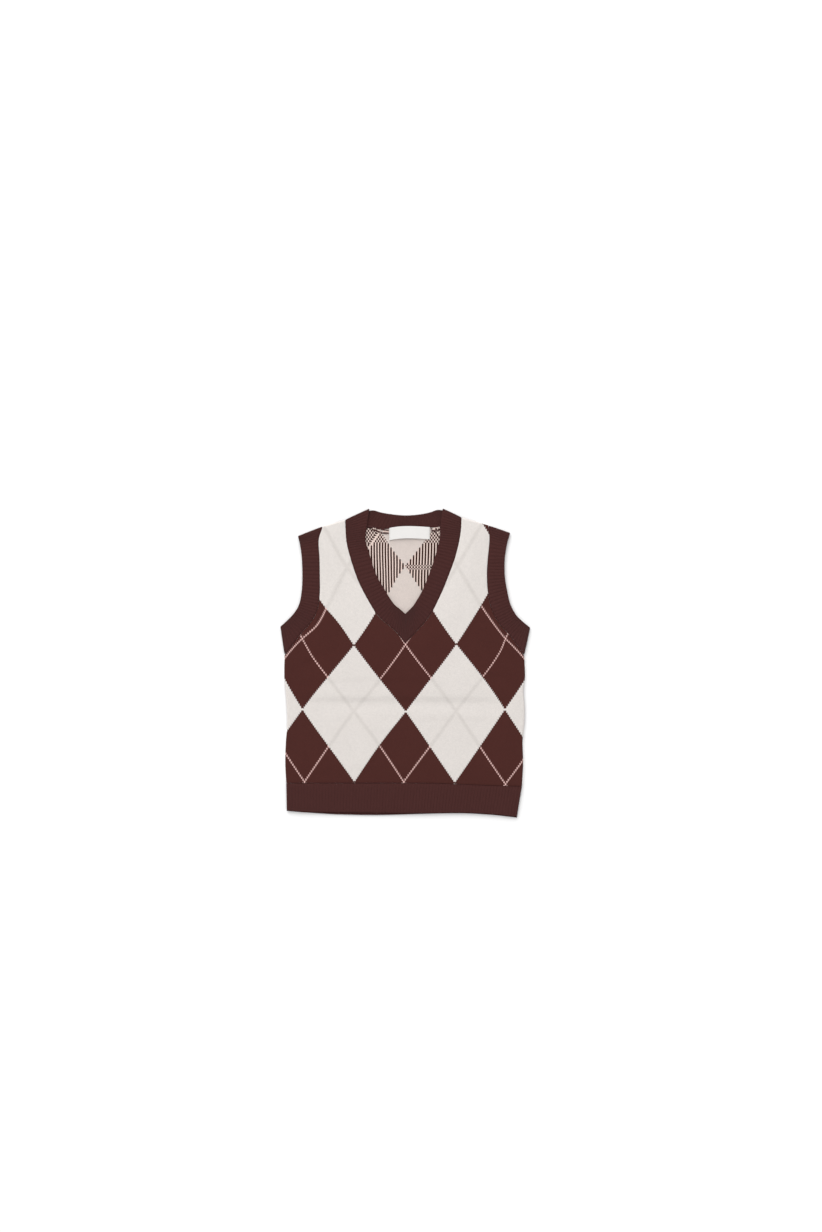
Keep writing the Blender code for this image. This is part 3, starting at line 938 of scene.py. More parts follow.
def armhole_boundary(crossings):
    """A panel's armhole from the top of its side to its shoulder."""
    seam, edge = seam_of(crossings), edge_of(crossings)
    shoulder, underarm = seam[0].copy(), seam[-1].copy()
    set_in_fold(seam, edge, FIRST)
    set_in_fold(seam, edge, LAST)
    points = spread(seam[::-1], ARMHOLE_ROWS)
    return [underarm] + points + turned_rows(points[-1], shoulder)


def neck_boundary(seam, shoulder, neck_row):
    """A panel's neck from its middle to its shoulder, in the rows that are left for it."""
    points = spread(seam, LOWER_ROWS + ARMHOLE_ROWS + 1 - neck_row)
    return points + turned_rows(points[-1], shoulder)


def set_back(points, turn):
    """A boundary pulled back from its seam by half the gap, to its left for 1 or its right for -1."""
    moved = []
    for i, point in enumerate(points):
        along = (points[min(i + 1, len(points) - 1)] - points[max(i - 1, 0)]).normalized()
        moved.append(point + Vector((-along.y, along.x, 0.0)) * (turn * SEAM_HALF_GAP))
    return moved


def panel_half(side, crossings, neck, neck_row):
    """The outer and the inner boundary of half a panel, row by row from the hem seam up."""
    armhole = armhole_boundary(crossings)
    underarm = armhole[0]
    rows = SIDES + (Side(underarm.y, underarm.x, underarm.x),)
    start = SIDES[0].y + SEAM_HALF_GAP
    turn = 1 if side == "left" else -1
    heights = graded(underarm.y - start, LOWER_ROWS)[:-1]
    outer = [Vector((smooth_at(rows, "y", side, start + up), start + up, 0.0)) for up in heights]
    outer += set_back(armhole, -turn)
    heights = graded(neck[0].y - start, neck_row)[:-1]
    inner = [Vector((neck[0].x, start + up, 0.0)) for up in heights]
    slant = (neck[1] - neck[0]).normalized()
    inner.append(neck[0] - Vector((0.0, SEAM_HALF_GAP / abs(slant.x), 0.0)))
    inner += set_back(neck, turn)[1:]
    return outer, inner


def panel_grid(halves, neck_row):
    """The points of both halves in the plane and the cells between them.

    A half is its outer and its inner boundary. Up to the neck they share the middle column.
    """
    places, cells = {}, []
    for half, (outer, inner) in enumerate(halves):
        for i, (far, near) in enumerate(zip(outer, inner)):
            width = (far - near).length
            room = graded(width / 2, HALF_COLUMNS // 2)
            columns = room + [width - distance for distance in room[-2::-1]]
            for k, distance in enumerate(columns):
                key = (0 if k == 0 and i <= neck_row else half, i, k)
                places[key] = near.lerp(far, distance / width)
        for i in range(len(outer) - 1):
            for k in range(len(columns) - 1):
                corners = [(i, k), (i, k + 1), (i + 1, k + 1), (i + 1, k)]
                cell = [(0 if c == 0 and r <= neck_row else half, r, c) for r, c in corners]
                cells.append(cell if half else cell[::-1])
    return places, cells


def crease_depth(creases, x, y):
    """How deep the creases lie at a place."""
    depth = 0.0
    for crease in creases:
        along = (x - crease.x) / crease.half_length
        away = y - crease.y - crease.slope * (x - crease.x)
        across = away / (crease.half_width * (STEEP_SIDE if away > 0 else GENTLE_SIDE))
        depth += crease.depth * math.exp(-(along ** 4) - across * across)
    return depth


def unevenness(x, y):
    """Three slow waves over the cloth, from -1 to 1 in all, as no knit lies quite level."""
    broad = math.sin(x / 17.0 + 1.3 * math.sin(y / 31.0))
    across = math.sin(y / 13.0 + x / 41.0)
    slanting = math.sin((x + y) / 7.5)
    return 0.5 * broad + 0.3 * across + 0.2 * slanting


def loft_height(cloth, x, y, rim):
    """How far the front panel stands off the back, from 0 at its rim to a soft middle."""
    rise = min(rim / LOFT_RISE, 1.0)
    rise = rise * rise * (3 - 2 * rise)
    loft = cloth.loft / MM - crease_depth(CREASES, x, y) * cloth.creasing
    loft += LOFT_UNEVENNESS * unevenness(x, y)
    return max(loft * rise, DEEPEST_TROUGH)


def plate_bend(apart):
    """How far a thin plate gives way at this distance from a push: nothing at the push itself."""
    return apart**2 * np.log(np.maximum(apart, AT_MARK))


def cloth_places(places, marks):
    """The wale and the course at each place, as smooth as a thin plate bent over the marks."""
    held = np.array([(mark.x, mark.y) for mark in marks])
    known = np.array([(mark.wale, mark.course) for mark in marks])
    count = len(held)
    flat = np.hstack([np.ones((count, 1)), held])
    apart = np.linalg.norm(held[:, None] - held[None, :], axis=2)
    sums = np.zeros((count + 3, count + 3))
    sums[:count, :count] = plate_bend(apart) + np.eye(count) * MARK_EASE
    sums[:count, count:] = flat
    sums[count:, :count] = flat.T
    weights = np.linalg.solve(sums, np.vstack([known, np.zeros((3, 2))]))
    spots = np.array([(place.x, place.y) for place in places])
    apart = np.linalg.norm(spots[:, None] - held[None, :], axis=2)
    flat = np.hstack([np.ones((len(spots), 1)), spots])
    return (np.hstack([plate_bend(apart), flat]) @ weights).tolist()


def sagged(place):
    """A place of the front, moved down with the hem's seam."""
    share = min(max((place.x - SAG_FROM) / (SIDES[0].right - SAG_FROM), 0.0), 1.0)
    held = min(max((place.y - SIDES[0].y) / SAG_REACH, 0.0), 1.0)
    sag = SEAM_SAG * share * share * (3 - 2 * share) * (1 - held) ** 2
    return place - Vector((0.0, sag, 0.0))


def line_between(start, end, steps):
    """Points along a straight line."""
    return [start.lerp(end, i / steps) for i in range(steps + 1)]


def panel_outlines(halves, neck_row, front):
    """A panel's boundary: where it turns to the other panel, and where a band is sewn on."""
    turned, sewn = [], []
    start_y = halves[0][0][0].y
    for outer, inner in halves:
        side = outer[: LOWER_ROWS + 1]
        turned.append(Outline([sagged(place) for place in side] if front else side))
        turned.append(Outline(line_between(outer[-1], inner[-1], SHOULDER_POINTS)))
        sewn.append(Outline(outer[LOWER_ROWS:]))
        sewn.append(Outline(inner[neck_row:]))
        across = line_between(outer[0], inner[0], HEM_SEAM_POINTS)
        across = [Vector((place.x, start_y, 0.0)) for place in across]
        sewn.append(Outline([sagged(place) for place in across] if front else across))
    return turned, sewn


def turn_drop(distance):
    """How far the outer face lies below its full height, this far in from a fold or side seam."""
    out = 1 - min(distance / TURN_WIDTH, 1.0)
    return TURN_DROP * (1 - math.sqrt(1 - out * out))


def wall_faces(cells, order, in_cloth):
    """The faces of a wall: the outer and the inner one of each cell, and a rim at open edges.

    Order numbers the outer point of each place, and its inner point comes next. With the faces
    come the wale and the course of their corners, and their material slots.
    """
    faces, cloth_map, slots, used = [], [], [], {}
    for cell in cells:
        faces.append([order[key] for key in cell])
        faces.append([order[key] + 1 for key in reversed(cell)])
        cloth_map += [in_cloth[key] for key in cell]
        cloth_map += [in_cloth[key] for key in reversed(cell)]
        slots += [0, 1]
        for a, b in zip(cell, cell[1:] + cell[:1]):
            used.setdefault(frozenset((a, b)), []).append((a, b))
    for ways in used.values():
        if len(ways) == 1:
            a, b = ways[0]
            faces.append([order[b], order[a], order[a] + 1, order[b] + 1])
            cloth_map += [in_cloth[b], in_cloth[a], in_cloth[a], in_cloth[b]]
            slots.append(0)
    return faces, cloth_map, slots


def make_panel(name, halves, front, cloth, materials):
    """A panel's wall. Its outer face dips into its seams and rounds down at sides and shoulders."""
    neck_row = FRONT_NECK_ROW if front else BACK_NECK_ROW
    places, cells = panel_grid(halves, neck_row)
    if front:
        places = {key: sagged(place) for key, place in places.items()}
    turned, sewn = panel_outlines(halves, neck_row, front)
    facing = 1 if front else -1
    in_cloth = cloth_places(places.values(), FRONT_MARKS if front else BACK_MARKS)
    points, order = [], {}
    for key, place in places.items():
        to_turn = min(line.distance(place) for line in turned)
        to_seam = min(line.distance(place) for line in sewn)
        drop = max(turn_drop(to_turn), SEAM_DIP * math.exp(-to_seam / SEAM_EASE))
        lift = 0.0
        if front:
            lift = loft_height(cloth, place.x, place.y, min(to_turn, to_seam))
        else:
            drop += crease_depth(UNDER_CREASES, place.x, place.y) * cloth.creasing
        order[key] = len(points)
        points.append(Vector((place.x, place.y, MIDDLE + facing * (OUTER - drop) + lift)))
        points.append(Vector((place.x, place.y, MIDDLE + facing * INNER)))
    faces, cloth_map, slots = wall_faces(cells, order, dict(zip(places, in_cloth)))
    return make_piece(name, points, faces, cloth_map, materials, slots)


def front_halves():
    """The front reaches up to the seam of the V neck."""
    halves = []
    for side, armhole, neck in (
        ("left", LEFT_ARMHOLE, LEFT_NECK),
        ("right", RIGHT_ARMHOLE, RIGHT_NECK),
    ):
        seam, edge = seam_of(neck), edge_of(neck)
        shoulder = seam[-1].copy()
        set_in_fold(seam, edge, LAST)
        boundary = neck_boundary(seam, shoulder, FRONT_NECK_ROW)
        halves.append(panel_half(side, armhole, boundary, FRONT_NECK_ROW))
    return halves


def back_halves():
    """The back reaches up to the back neck seam, which is cut shallow."""
    seam = back_neck_strip()[0]
    middle = len(seam) // 2
    halves = []
    for side, armhole, half_seam, shoulder in (
        ("left", LEFT_ARMHOLE, seam[middle::-1], seam_of(LEFT_NECK)[-1]),
        ("right", RIGHT_ARMHOLE, seam[middle:], seam_of(RIGHT_NECK)[-1]),
    ):
        boundary = neck_boundary(half_seam, shoulder, BACK_NECK_ROW)
        halves.append(panel_half(side, armhole, boundary, BACK_NECK_ROW))
    return halves


# One section across a band or a hem. Rib counts ribs from the start, and its fraction is the
# place within one. The ways out are those of the wall at the seam and at the finished edge
Section = namedtuple("Section", "seam edge out_seam out_edge rib drop")


def crest(rib):
    """How high the outer face stands at this place of a rib, from 0 in a valley to 1."""
    return abs(math.sin(math.pi * rib)) ** RIB_ROUNDNESS


def section_points(section, cloth):
    """The points round a section: from the seam over the outer face, and back along the inner."""
    width = (section.edge - section.seam).length
    across = (section.edge - section.seam) / width
    relief = cloth.rib_relief / MM
    top = max(OUTER - relief * (1 - crest(section.rib)) - section.drop, THINNEST)
    lowest = max(top - SEAM_DIP - BAND_BOW, THINNEST)
    low = min(INNER + relief * (1 - crest(section.rib + 0.5)), lowest - LEAST_WALL)
    start = SEAM_HALF_GAP
    end = width - EDGE_ROUND
    shares = [(i / BAND_COLUMNS) ** BAND_GRADING for i in range(BAND_COLUMNS + 1)]
    steps = [start + (end - start) * share for share in shares]
    profile = []
    for distance in steps:
        dip = SEAM_DIP * math.exp(-(distance - start) / SEAM_EASE)
        bow = BAND_BOW * math.sin(math.pi * distance / width)
        profile.append((distance, max(top - dip + bow - BAND_BOW, THINNEST)))
    middle, half = (profile[-1][1] + low) / 2, (profile[-1][1] - low) / 2
    for i in range(1, EDGE_POINTS + 1):
        angle = math.pi * i / (EDGE_POINTS + 1)
        out = math.sin(angle) ** EDGE_FULLNESS
        up = math.copysign(abs(math.cos(angle)) ** EDGE_FULLNESS, math.cos(angle))
        profile.append((end + EDGE_ROUND * out, middle + half * up))
    profile += [(distance, low) for distance in reversed(steps)]
    points = []
    for distance, height in profile:
        out = section.out_seam.lerp(section.out_edge, distance / width)
        points.append(section.seam + across * distance + out * height + Vector((0.0, 0.0, MIDDLE)))
    return points


def knit_strip(name, sections, closed, cloth, material):
    """Skins sections into ribbed cloth. An open strip gets a face over each end."""
    rings = [section_points(section, cloth) for section in sections]
    count = len(rings[0])
    points = [point for ring in rings for point in ring]
    courses = [0.0]
    for a, b in zip(rings[0], rings[0][1:]):
        courses.append(courses[-1] + (b - a).length / COURSE)
    courses.append(courses[-1])
    wales = [RIB_WALES * section.rib + 0.5 for section in sections]
    faces, cloth_map = [], []
    last = len(rings) if closed else len(rings) - 1
    step = wales[1] - wales[0]
    for i in range(last):
        j = (i + 1) % len(rings)
        wale = (wales[i], wales[j] if j else wales[i] + step)
        for k in range(count):
            m = (k + 1) % count
            faces.append([i * count + k, i * count + m, j * count + m, j * count + k])
            near, far = courses[k], courses[k + 1]
            cloth_map += [(wale[0], near), (wale[0], far), (wale[1], far), (wale[1], near)]
    if not closed:
        for i, wale in ((0, wales[0]), (len(rings) - 1, wales[-1])):
            faces.append([i * count + k for k in range(count)])
            cloth_map += [(wale, course) for course in courses[:count]]
    return make_piece(name, points, faces, cloth_map, [material], [0] * len(faces))


def rib_count(seam, edge, cloth):
    """A whole number of ribs for a strip."""
    middle = [(a + b) / 2 for a, b in zip(seam, edge)]
    return round(curve_length(middle) / (cloth.rib_pitch / MM))


def strip(seam, edge, facing, first_rib, ribs):
    """The sections of a flat strip, from its first rib on."""
    normal = Vector((0.0, 0.0, facing))
    last = len(seam) - 1
    steps = abs(ribs) * RIB_STEPS
    sections = []
    for i in range(steps + 1):
        at_seam, at_edge = smooth(seam, i / steps * last), smooth(edge, i / steps * last)
        sections.append(Section(at_seam, at_edge, normal, normal, first_rib + i / RIB_STEPS, 0.0))
    return sections


def fold(seam, edge, outs, going_down, first_rib):
    """The sections round a fold, between the flat strips above and below it."""
    steps = FOLD_RIBS * RIB_STEPS
    sections = []
    for i in range(1, steps):
        angle = math.pi * (0.5 - i / steps)
        angle = angle if going_down else -angle
        rise = Vector((0.0, 0.0, math.sin(angle)))
        normals = [out * math.cos(angle) + rise for out in outs]
        sections.append(Section(seam, edge, *normals, first_rib + i / RIB_STEPS, 0.0))
    return sections


def make_armband(name, crossings, cloth, material):
    """A ring of rib, folded at the shoulder and under the arm, with its front on its back."""
    seam, edge = seam_of(crossings), edge_of(crossings)
    shoulder_outs = set_in_fold(seam, edge, FIRST)
    underarm_outs = set_in_fold(seam, edge, LAST)
    ribs = rib_count(seam, edge, cloth)
    sections = strip(seam, edge, 1, 0, ribs)
    sections += fold(seam[-1], edge[-1], underarm_outs, True, ribs)
    sections += strip(seam[::-1], edge[::-1], -1, ribs + FOLD_RIBS, ribs)
    sections += fold(seam[0], edge[0], shoulder_outs, False, 2 * ribs + FOLD_RIBS)
    return knit_strip(name, sections, True, cloth, material)


def back_neck_strip():
    """The back neck's seam and edge, which begin and end on the axes of the shoulder folds."""
    back_seam, back_edge = seam_of(BACK_NECK), edge_of(BACK_NECK)
    for end, crossings in ((0, LEFT_NECK), (-1, RIGHT_NECK)):
        seam, edge = seam_of(crossings), edge_of(crossings)
        set_in_fold(seam, edge, LAST)
        back_seam[end], back_edge[end] = seam[-1], edge[-1]
    return back_seam, back_edge


def make_neckband(cloth, material):
    """A ring of rib, mitred at the V's point and folded at both shoulders."""
    left_seam, left_edge = seam_of(LEFT_NECK), edge_of(LEFT_NECK)
    right_seam, right_edge = seam_of(RIGHT_NECK), edge_of(RIGHT_NECK)
    left_outs = set_in_fold(left_seam, left_edge, LAST)
    right_outs = set_in_fold(right_seam, right_edge, LAST)
    back_seam, back_edge = back_neck_strip()
    rib = rib_count(left_seam, left_edge, cloth)
    sections = strip(left_seam, left_edge, 1, 0, rib)
    sections += fold(left_seam[-1], left_edge[-1], left_outs, True, rib)
    rib += FOLD_RIBS
    ribs = rib_count(back_seam, back_edge, cloth)
    sections += strip(back_seam, back_edge, -1, rib, ribs)
    rib += ribs
    sections += fold(right_seam[-1], right_edge[-1], right_outs, False, rib)
    rib += FOLD_RIBS
    ribs = rib_count(right_seam, right_edge, cloth)
    sections += strip(right_seam[::-1], right_edge[::-1], 1, rib, ribs)[:-1]
    return knit_strip("neckband_knit", sections, True, cloth, material)


def make_hem(name, front, cloth, material):
    """A ribbed hem, which rounds down at both side seams to meet the other one."""
    bottom = "front_y" if front else "back_y"
    normal = Vector((0.0, 0.0, 1 if front else -1))
    width = HEMS[-1].x - HEMS[0].x
    ribs = round(width / (cloth.rib_pitch / MM))
    places = [i / RIB_STEPS for i in range(ribs * RIB_STEPS + 1)]
    for distance in HEM_END_STEPS:
        places += [distance / width * ribs, ribs - distance / width * ribs]
    sections = []
    top_left, top_right = SIDES[0].left, SIDES[0].right
    for rib in sorted(places):
        share = rib / ribs
        drop = turn_drop(min(share, 1 - share) * width)
        x_top = top_left + (top_right - top_left) * share
        x_low = HEMS[0].x + width * share
        seam = Vector((x_top, SIDES[0].y, 0.0))
        if front:
            seam = sagged(seam)
        edge = Vector((x_low, smooth_at(HEMS, "x", bottom, x_low), 0.0))
        sections.append(Section(seam, edge, normal, normal, rib, drop))
    return knit_strip(name, sections, False, cloth, material)


def label_path():
    """The middle of the label's tape from its long side: its place across and its height."""
    low, top = LABEL_TAPE / 2, LABEL_TOP - LABEL_TAPE / 2
    radius = (top - low) / 2
    flat_end = LABEL_WIDTH / 2 - LABEL_TAPE / 2 - radius
    under = [LABEL_TURNED_UNDER * (1 - i / LABEL_UNDER_STEPS) for i in range(LABEL_UNDER_STEPS)]
    side = [(flat_end - inwards, low) for inwards in under]
    for i in range(LABEL_TURN_STEPS + 1):
        angle = math.pi * (i / LABEL_TURN_STEPS - 0.5)
        side.append((flat_end + radius * math.cos(angle), low + radius * (1 + math.sin(angle))))
    middle = [(flat_end * (1 - 2 * i / LABEL_COLUMNS), top) for i in range(1, LABEL_COLUMNS)]
    return side + middle + [(-x, height) for x, height in reversed(side)]


def label_top(x, up):
    """The place in millimetres over a point of the label: x across it and up from 0 to 1."""
    arch = math.sin(math.pi * min(max(x / LABEL_WIDTH + 0.5, 0.0), 1.0) ** LABEL_BOW_SKEW)
    lift = LABEL_LIFT * (1 - up) * arch
    y = LABEL_Y + (up - 0.5) * LABEL_HEIGHT + LABEL_BOW * (arch - 0.5) + LABEL_TILT * x
    return LABEL_X + x, y, lift


def make_label(material):
    """A bare woven label: a tape whose ends are turned under, a little bowed."""
    path = [Vector((x, height)) for x, height in label_path()]
    skin, lengths = [], [0.0]
    for a, b in zip(path, path[1:]):
        lengths.append(lengths[-1] + (b - a).length)
    for turn, order in ((-1, range(len(path))), (1, reversed(range(len(path))))):
        for i in order:
            way = (path[min(i + 1, len(path) - 1)] - path[max(i - 1, 0)]).normalized()
            place = path[i] + Vector((-way.y, way.x)) * (turn * LABEL_TAPE / 2)
            skin.append((place.x, place.y, lengths[i] * TAPE_WARPS))
    points, rows = [], []
    for row in range(LABEL_ROWS + 1):
        up = row / LABEL_ROWS
        rows.append(up * LABEL_HEIGHT * TAPE_WEFTS)
        for x, height, _ in skin:
            at_x, at_y, lift = label_top(x, up)
            share = min(max(height / LABEL_TOP, 0.0), 1.0)
            points.append(Vector((at_x, at_y, WALL + GAP + height + lift * share)))
    count = len(skin)
    faces, cloth_map = [], []
    for row in range(LABEL_ROWS):
        for k in range(count):
            m = (k + 1) % count
            corners = ((row, k), (row, m), (row + 1, m), (row + 1, k))
            faces.append([r * count + c for r, c in corners])
            cloth_map += [(skin[c][2], rows[r]) for r, c in corners]
    for row in (0, LABEL_ROWS):
        for k in range(count // 2 - 1):
            face = [k, k + 1, count - 2 - k, count - 1 - k]
            faces.append([row * count + c for c in face])
            cloth_map += [(skin[c][2], rows[row]) for c in face]
    return make_piece("label_woven", points, faces, cloth_map, [material], [0] * len(faces))


def make_stitch(name, length, radius, material):
    """One stitch of thread, drawn out along X over its arch, ring by ring."""
    start = STITCH_ARCH[0]
    place = Vector((start.along * length / 2, 0.0, start.up * 2 * radius)) * MM
    bpy.ops.object.select_all(action="DESELECT")
    bpy.ops.mesh.primitive_circle_add(
        vertices=STITCH_SIDES,
        radius=radius * start.radius * MM,
        fill_type="NGON",
        location=place,
        rotation=(0.0, math.pi / 2, 0.0),
    )
    stitch = bpy.context.object
    stitch.name = name
    bpy.ops.object.mode_set(mode="EDIT")
    for before, turn in zip(STITCH_ARCH, STITCH_ARCH[1:]):
        along, up = turn.along - before.along, turn.up - before.up
        step = Vector((along * length / 2, 0.0, up * 2 * radius)) * MM
        place += step
        bpy.ops.mesh.extrude_region_move(TRANSFORM_OT_translate={"value": step})
        grow = turn.radius / before.radius
        bpy.ops.transform.resize(value=(1.0, grow, grow), center_override=place)
    bpy.ops.mesh.select_all(action="SELECT")
    bpy.ops.mesh.normals_make_consistent(inside=False)
    bpy.ops.mesh.select_all(action="DESELECT")
    bpy.ops.object.mode_set(mode="OBJECT")
    bpy.ops.object.transform_apply(location=True, rotation=True, scale=True)
    bpy.ops.object.shade_smooth()
    stitch.data.materials.append(material)
    return stitch


def repeat(first, places):
    """Copies a small thing to each place and joins the copies into one piece."""
    copies = []
    for place in places:
        copy = first.copy()
        copy.data = first.data.copy()
        copy.matrix_world = place
        bpy.context.scene.collection.objects.link(copy)
        copies.append(copy)
    name = first.name
    bpy.data.objects.remove(first)
    bpy.context.view_layer.update()
    bpy.ops.object.select_all(action="DESELECT")
    for copy in copies:
        copy.select_set(True)
    bpy.context.view_layer.objects.active = copies[0]
    bpy.ops.object.join()
    bpy.ops.object.transform_apply(location=True, rotation=True, scale=True)
    whole = bpy.context.object
    whole.name = name
    return whole


def stitch_place(x, y, z, angle):
    """Where a stitch goes: its middle in millimetres and its turn in the plane."""
    return Matrix.Translation(Vector((x, y, z)) * MM) @ Matrix.Rotation(angle, 4, "Z")


def label_stitch_places():
    """Short stitches across both folded ends of the label."""
    places = []
    for side in (-1, 1):
        for i in range(LABEL_STITCHES):
            up = (i + LABEL_STITCH_START) / LABEL_STITCHES
            x, y, lift = label_top(side * (LABEL_WIDTH / 2 - LABEL_STITCH_INSET), up)
            tilt = LABEL_STITCH_TILT * math.sin(LABEL_TILT_STEP * i + side)
            places.append(stitch_place(x, y, WALL + GAP + LABEL_TOP + lift, tilt))
    return places


def link_places(pale):
    """The legs of the chains of one yarn on the inside of the back neck."""
    places = []
    for chain in CHAINS:
        if chain.pale != pale:
            continue
        points = [Vector((x, y, 0.0)) for x, y in chain.points]
        count = max(round(curve_length(points) / LINK_PITCH), 1)
        line = spread(points, count)
        for i, (a, b) in enumerate(zip(line, line[1:])):
            along = (b - a).normalized()
            across = Vector((-along.y, along.x, 0.0))
            angle = math.atan2(along.y, along.x)
            for way in (-1, 1):
                middle = (a + b) / 2 + across * (way * LINK_SPREAD)
                tilt = way * LINK_TILT + LINK_UNEVENNESS * math.sin(LINK_TILT_STEP * i)
                places.append(stitch_place(middle.x, middle.y, WALL + LINK_RADIUS / 2, angle + tilt))
    return places


def flat_area(halves):
    """The area of a panel in square metres, from its boundaries."""
    area = 0.0
    for outer, inner in halves:
        ring = outer + inner[::-1]
        area += abs(sum(a.x * b.y - b.x * a.y for a, b in zip(ring, ring[1:] + ring[:1]))) / 2
    return area * MM * MM


def make_floor(stage):
    """A wide plain board, just under the cloth."""
    bpy.ops.object.select_all(action="DESELECT")
    bpy.ops.mesh.primitive_plane_add(size=FLOOR_SIZE, location=(0.0, 0.0, -FLOOR_DROP))
    floor = bpy.context.object
    floor.name = "floor"
    floor.data.materials.append(floor_finish("Floor board", stage.floor))
    return floor


def make_lamp(stage):
    """One large round lamp, turned to the vest."""
    light = bpy.data.lights.new("soft lamp", "AREA")
    light.shape = "DISK"
    light.size = LAMP_SIZE
    light.energy = stage.lamp
    lamp = bpy.data.objects.new("soft lamp", light)
    lamp.location = LAMP_PLACE
    lamp.rotation_euler = (-Vector(LAMP_PLACE)).to_track_quat("-Z", "Y").to_euler()
    bpy.context.scene.collection.objects.link(lamp)
    return lamp


def make_world(stage):
    """Even white light from all round."""
    world = bpy.data.worlds.new("studio")
    world.use_nodes = True
    sky = world.node_tree.nodes["Background"]
    sky.inputs["Color"].default_value = (1.0, 1.0, 1.0, 1.0)
    sky.inputs["Strength"].default_value = stage.sky
    return world


def make_camera(stage):
    """A camera straight above, so high that a pixel is as wide as it was worked out to be."""
    lens = bpy.data.cameras.new("photo camera")
    lens.lens = stage.lens / MM
    lens.sensor_width = SENSOR
    lens.sensor_fit = "AUTO"
    lens.clip_end = CLIP_END
    camera = bpy.data.objects.new("photo camera", lens)
    reach = max(IMAGE_PIXELS) * PIXEL
    camera.location = Vector((CAMERA_X, CAMERA_Y, reach * lens.lens / SENSOR)) * MM
    bpy.context.scene.collection.objects.link(camera)
    return camera


class VEST_OT_knit_back(bpy.types.Operator):
    """Knit the back panel, with its pattern on the outside and its backing on the inside"""

    bl_idname = "vest.knit_back"
    bl_label = "Knit the back"

    def execute(self, context):
        cloth, yarns = context.scene.vest_cloth, context.scene.vest_yarns
        materials = [
            argyle_finish("Back outside", cloth, yarns),
            backing_finish("Back inside", cloth, yarns),
        ]
        halves = back_halves()
        piece = make_panel("back_knit_cloth", halves, False, cloth, materials)
        lay(piece, "back_panel", "back_knit", flat_area(halves))
        return {"FINISHED"}


class VEST_OT_knit_front(bpy.types.Operator):
    """Knit the front panel, with its argyle and its soft creases"""

    bl_idname = "vest.knit_front"
    bl_label = "Knit the front"

    def execute(self, context):
        cloth, yarns = context.scene.vest_cloth, context.scene.vest_yarns
        materials = [
            argyle_finish("Front outside", cloth, yarns),
            backing_finish("Front inside", cloth, yarns),
        ]
        halves = front_halves()
        piece = make_panel("front_knit_cloth", halves, True, cloth, materials)
        lay(piece, "front_panel", "front_knit", flat_area(halves))
        return {"FINISHED"}


class VEST_OT_knit_hems(bpy.types.Operator):
    """Knit the ribbed hems of the front and the back"""

    bl_idname = "vest.knit_hems"
    bl_label = "Knit the hems"

    def execute(self, context):
        cloth, yarns = context.scene.vest_cloth, context.scene.vest_yarns
        material = rib_finish("Hem rib", cloth, yarns)
        for front, node, slot, below in (
            (False, "hem_rib_back", "hem_back_rib", []),
            (True, "hem_rib_front", "hem_front_rib", ["hem_rib_back"]),
        ):
            piece = make_hem(node + "_cloth", front, cloth, material)
            lay(piece, node, slot, None)
        return {"FINISHED"}


class VEST_OT_knit_armbands(bpy.types.Operator):
    """Knit the ribbed bands round both armholes"""

    bl_idname = "vest.knit_armbands"
    bl_label = "Knit the armbands"

    def execute(self, context):
        cloth, yarns = context.scene.vest_cloth, context.scene.vest_yarns
        material = rib_finish("Armband rib", cloth, yarns)
        for crossings, node, slot in (
            (LEFT_ARMHOLE, "armband_left", "left_arm_rib"),
            (RIGHT_ARMHOLE, "armband_right", "right_arm_rib"),
        ):
            piece = make_armband(node + "_cloth", crossings, cloth, material)
            lay(piece, node, slot, None)
        return {"FINISHED"}


class VEST_OT_knit_neckband(bpy.types.Operator):
    """Knit the ribbed band round the V neck, and the loose chains of yarn inside the back neck"""

    bl_idname = "vest.knit_neckband"
    bl_label = "Knit the neckband"

    def execute(self, context):
        cloth, yarns = context.scene.vest_cloth, context.scene.vest_yarns
        piece = make_neckband(cloth, rib_finish("Neckband rib", cloth, yarns))
        lay(piece, "neckband", "neck_rib", None)
        for name, pale, colour in (
            ("neck_links_pale", True, yarns.stripe_inside),
            ("neck_links_brown", False, yarns.rib_brown),
        ):
            material = thread_finish(name.replace("_", " ").capitalize(), colour)
            first = make_stitch(name, LINK_LENGTH, LINK_RADIUS, material)
            links = repeat(first, link_places(pale))
            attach(links, "root")
        return {"FINISHED"}


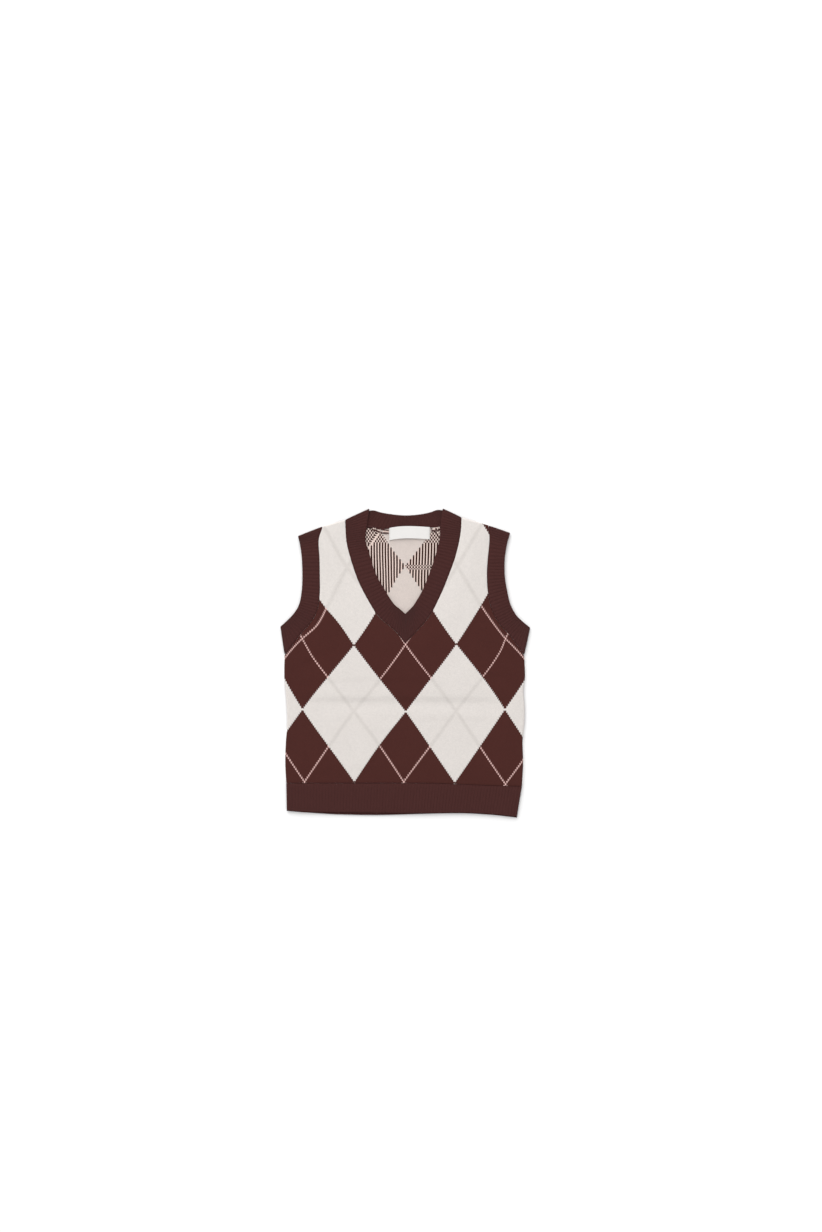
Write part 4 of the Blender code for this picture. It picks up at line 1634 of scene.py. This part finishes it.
class VEST_OT_sew_label(bpy.types.Operator):
    """Weave the bare label and sew it to the inside of the back"""

    bl_idname = "vest.sew_label"
    bl_label = "Sew the label"

    def execute(self, context):
        yarns = context.scene.vest_yarns
        label = make_label(label_finish("Label tape", yarns))
        lay(label, "neck_label", "label_weave", None)
        thread = thread_finish("Label thread", yarns.label)
        first = make_stitch("label_stitches", LABEL_STITCH_LENGTH, LABEL_STITCH_RADIUS, thread)
        stitches = repeat(first, label_stitch_places())
        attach(stitches, "root")
        return {"FINISHED"}


class VEST_OT_set_stage(bpy.types.Operator):
    """Set a plain pale floor, a soft light and the camera straight above"""

    bl_idname = "vest.set_stage"
    bl_label = "Set the stage"

    def execute(self, context):
        stage = context.scene.vest_stage
        floor = make_floor(stage)
        lamp = make_lamp(stage)
        context.scene.world = make_world(stage)
        context.scene.camera = make_camera(stage)
        context.scene.view_settings.view_transform = "Standard"
        return {"FINISHED"}


STEPS = (
    VEST_OT_knit_back,
    VEST_OT_knit_hems,
    VEST_OT_knit_armbands,
    VEST_OT_knit_front,
    VEST_OT_knit_neckband,
    VEST_OT_sew_label,
    VEST_OT_set_stage,
)


class VEST_PT_vest(bpy.types.Panel):
    """The vest's sizes and yarns, and a button for each of its pieces"""

    bl_idname = "VEST_PT_vest"
    bl_label = "Argyle vest"
    bl_space_type = "VIEW_3D"
    bl_region_type = "UI"
    bl_category = "Vest"

    def draw(self, context):
        scene = context.scene
        for settings in (scene.vest_cloth, scene.vest_yarns, scene.vest_stage):
            box = self.layout.box()
            for name in settings.__annotations__:
                box.prop(settings, name)
        for step in STEPS:
            self.layout.operator(step.bl_idname)


CLASSES = (VestCloth, VestYarns, VestStage) + STEPS + (VEST_PT_vest,)


def register():
    for cls in CLASSES:
        bpy.utils.register_class(cls)
    bpy.types.Scene.vest_cloth = bpy.props.PointerProperty(type=VestCloth)
    bpy.types.Scene.vest_yarns = bpy.props.PointerProperty(type=VestYarns)
    bpy.types.Scene.vest_stage = bpy.props.PointerProperty(type=VestStage)


def unregister():
    del bpy.types.Scene.vest_stage
    del bpy.types.Scene.vest_yarns
    del bpy.types.Scene.vest_cloth
    for cls in reversed(CLASSES):
        bpy.utils.unregister_class(cls)


def main():
    register()
    bpy.ops.vest.knit_back()
    bpy.ops.vest.knit_hems()
    bpy.ops.vest.knit_armbands()
    bpy.ops.vest.knit_front()
    bpy.ops.vest.knit_neckband()
    bpy.ops.vest.sew_label()
    bpy.ops.vest.set_stage()


if __name__ == "__main__":
    main()
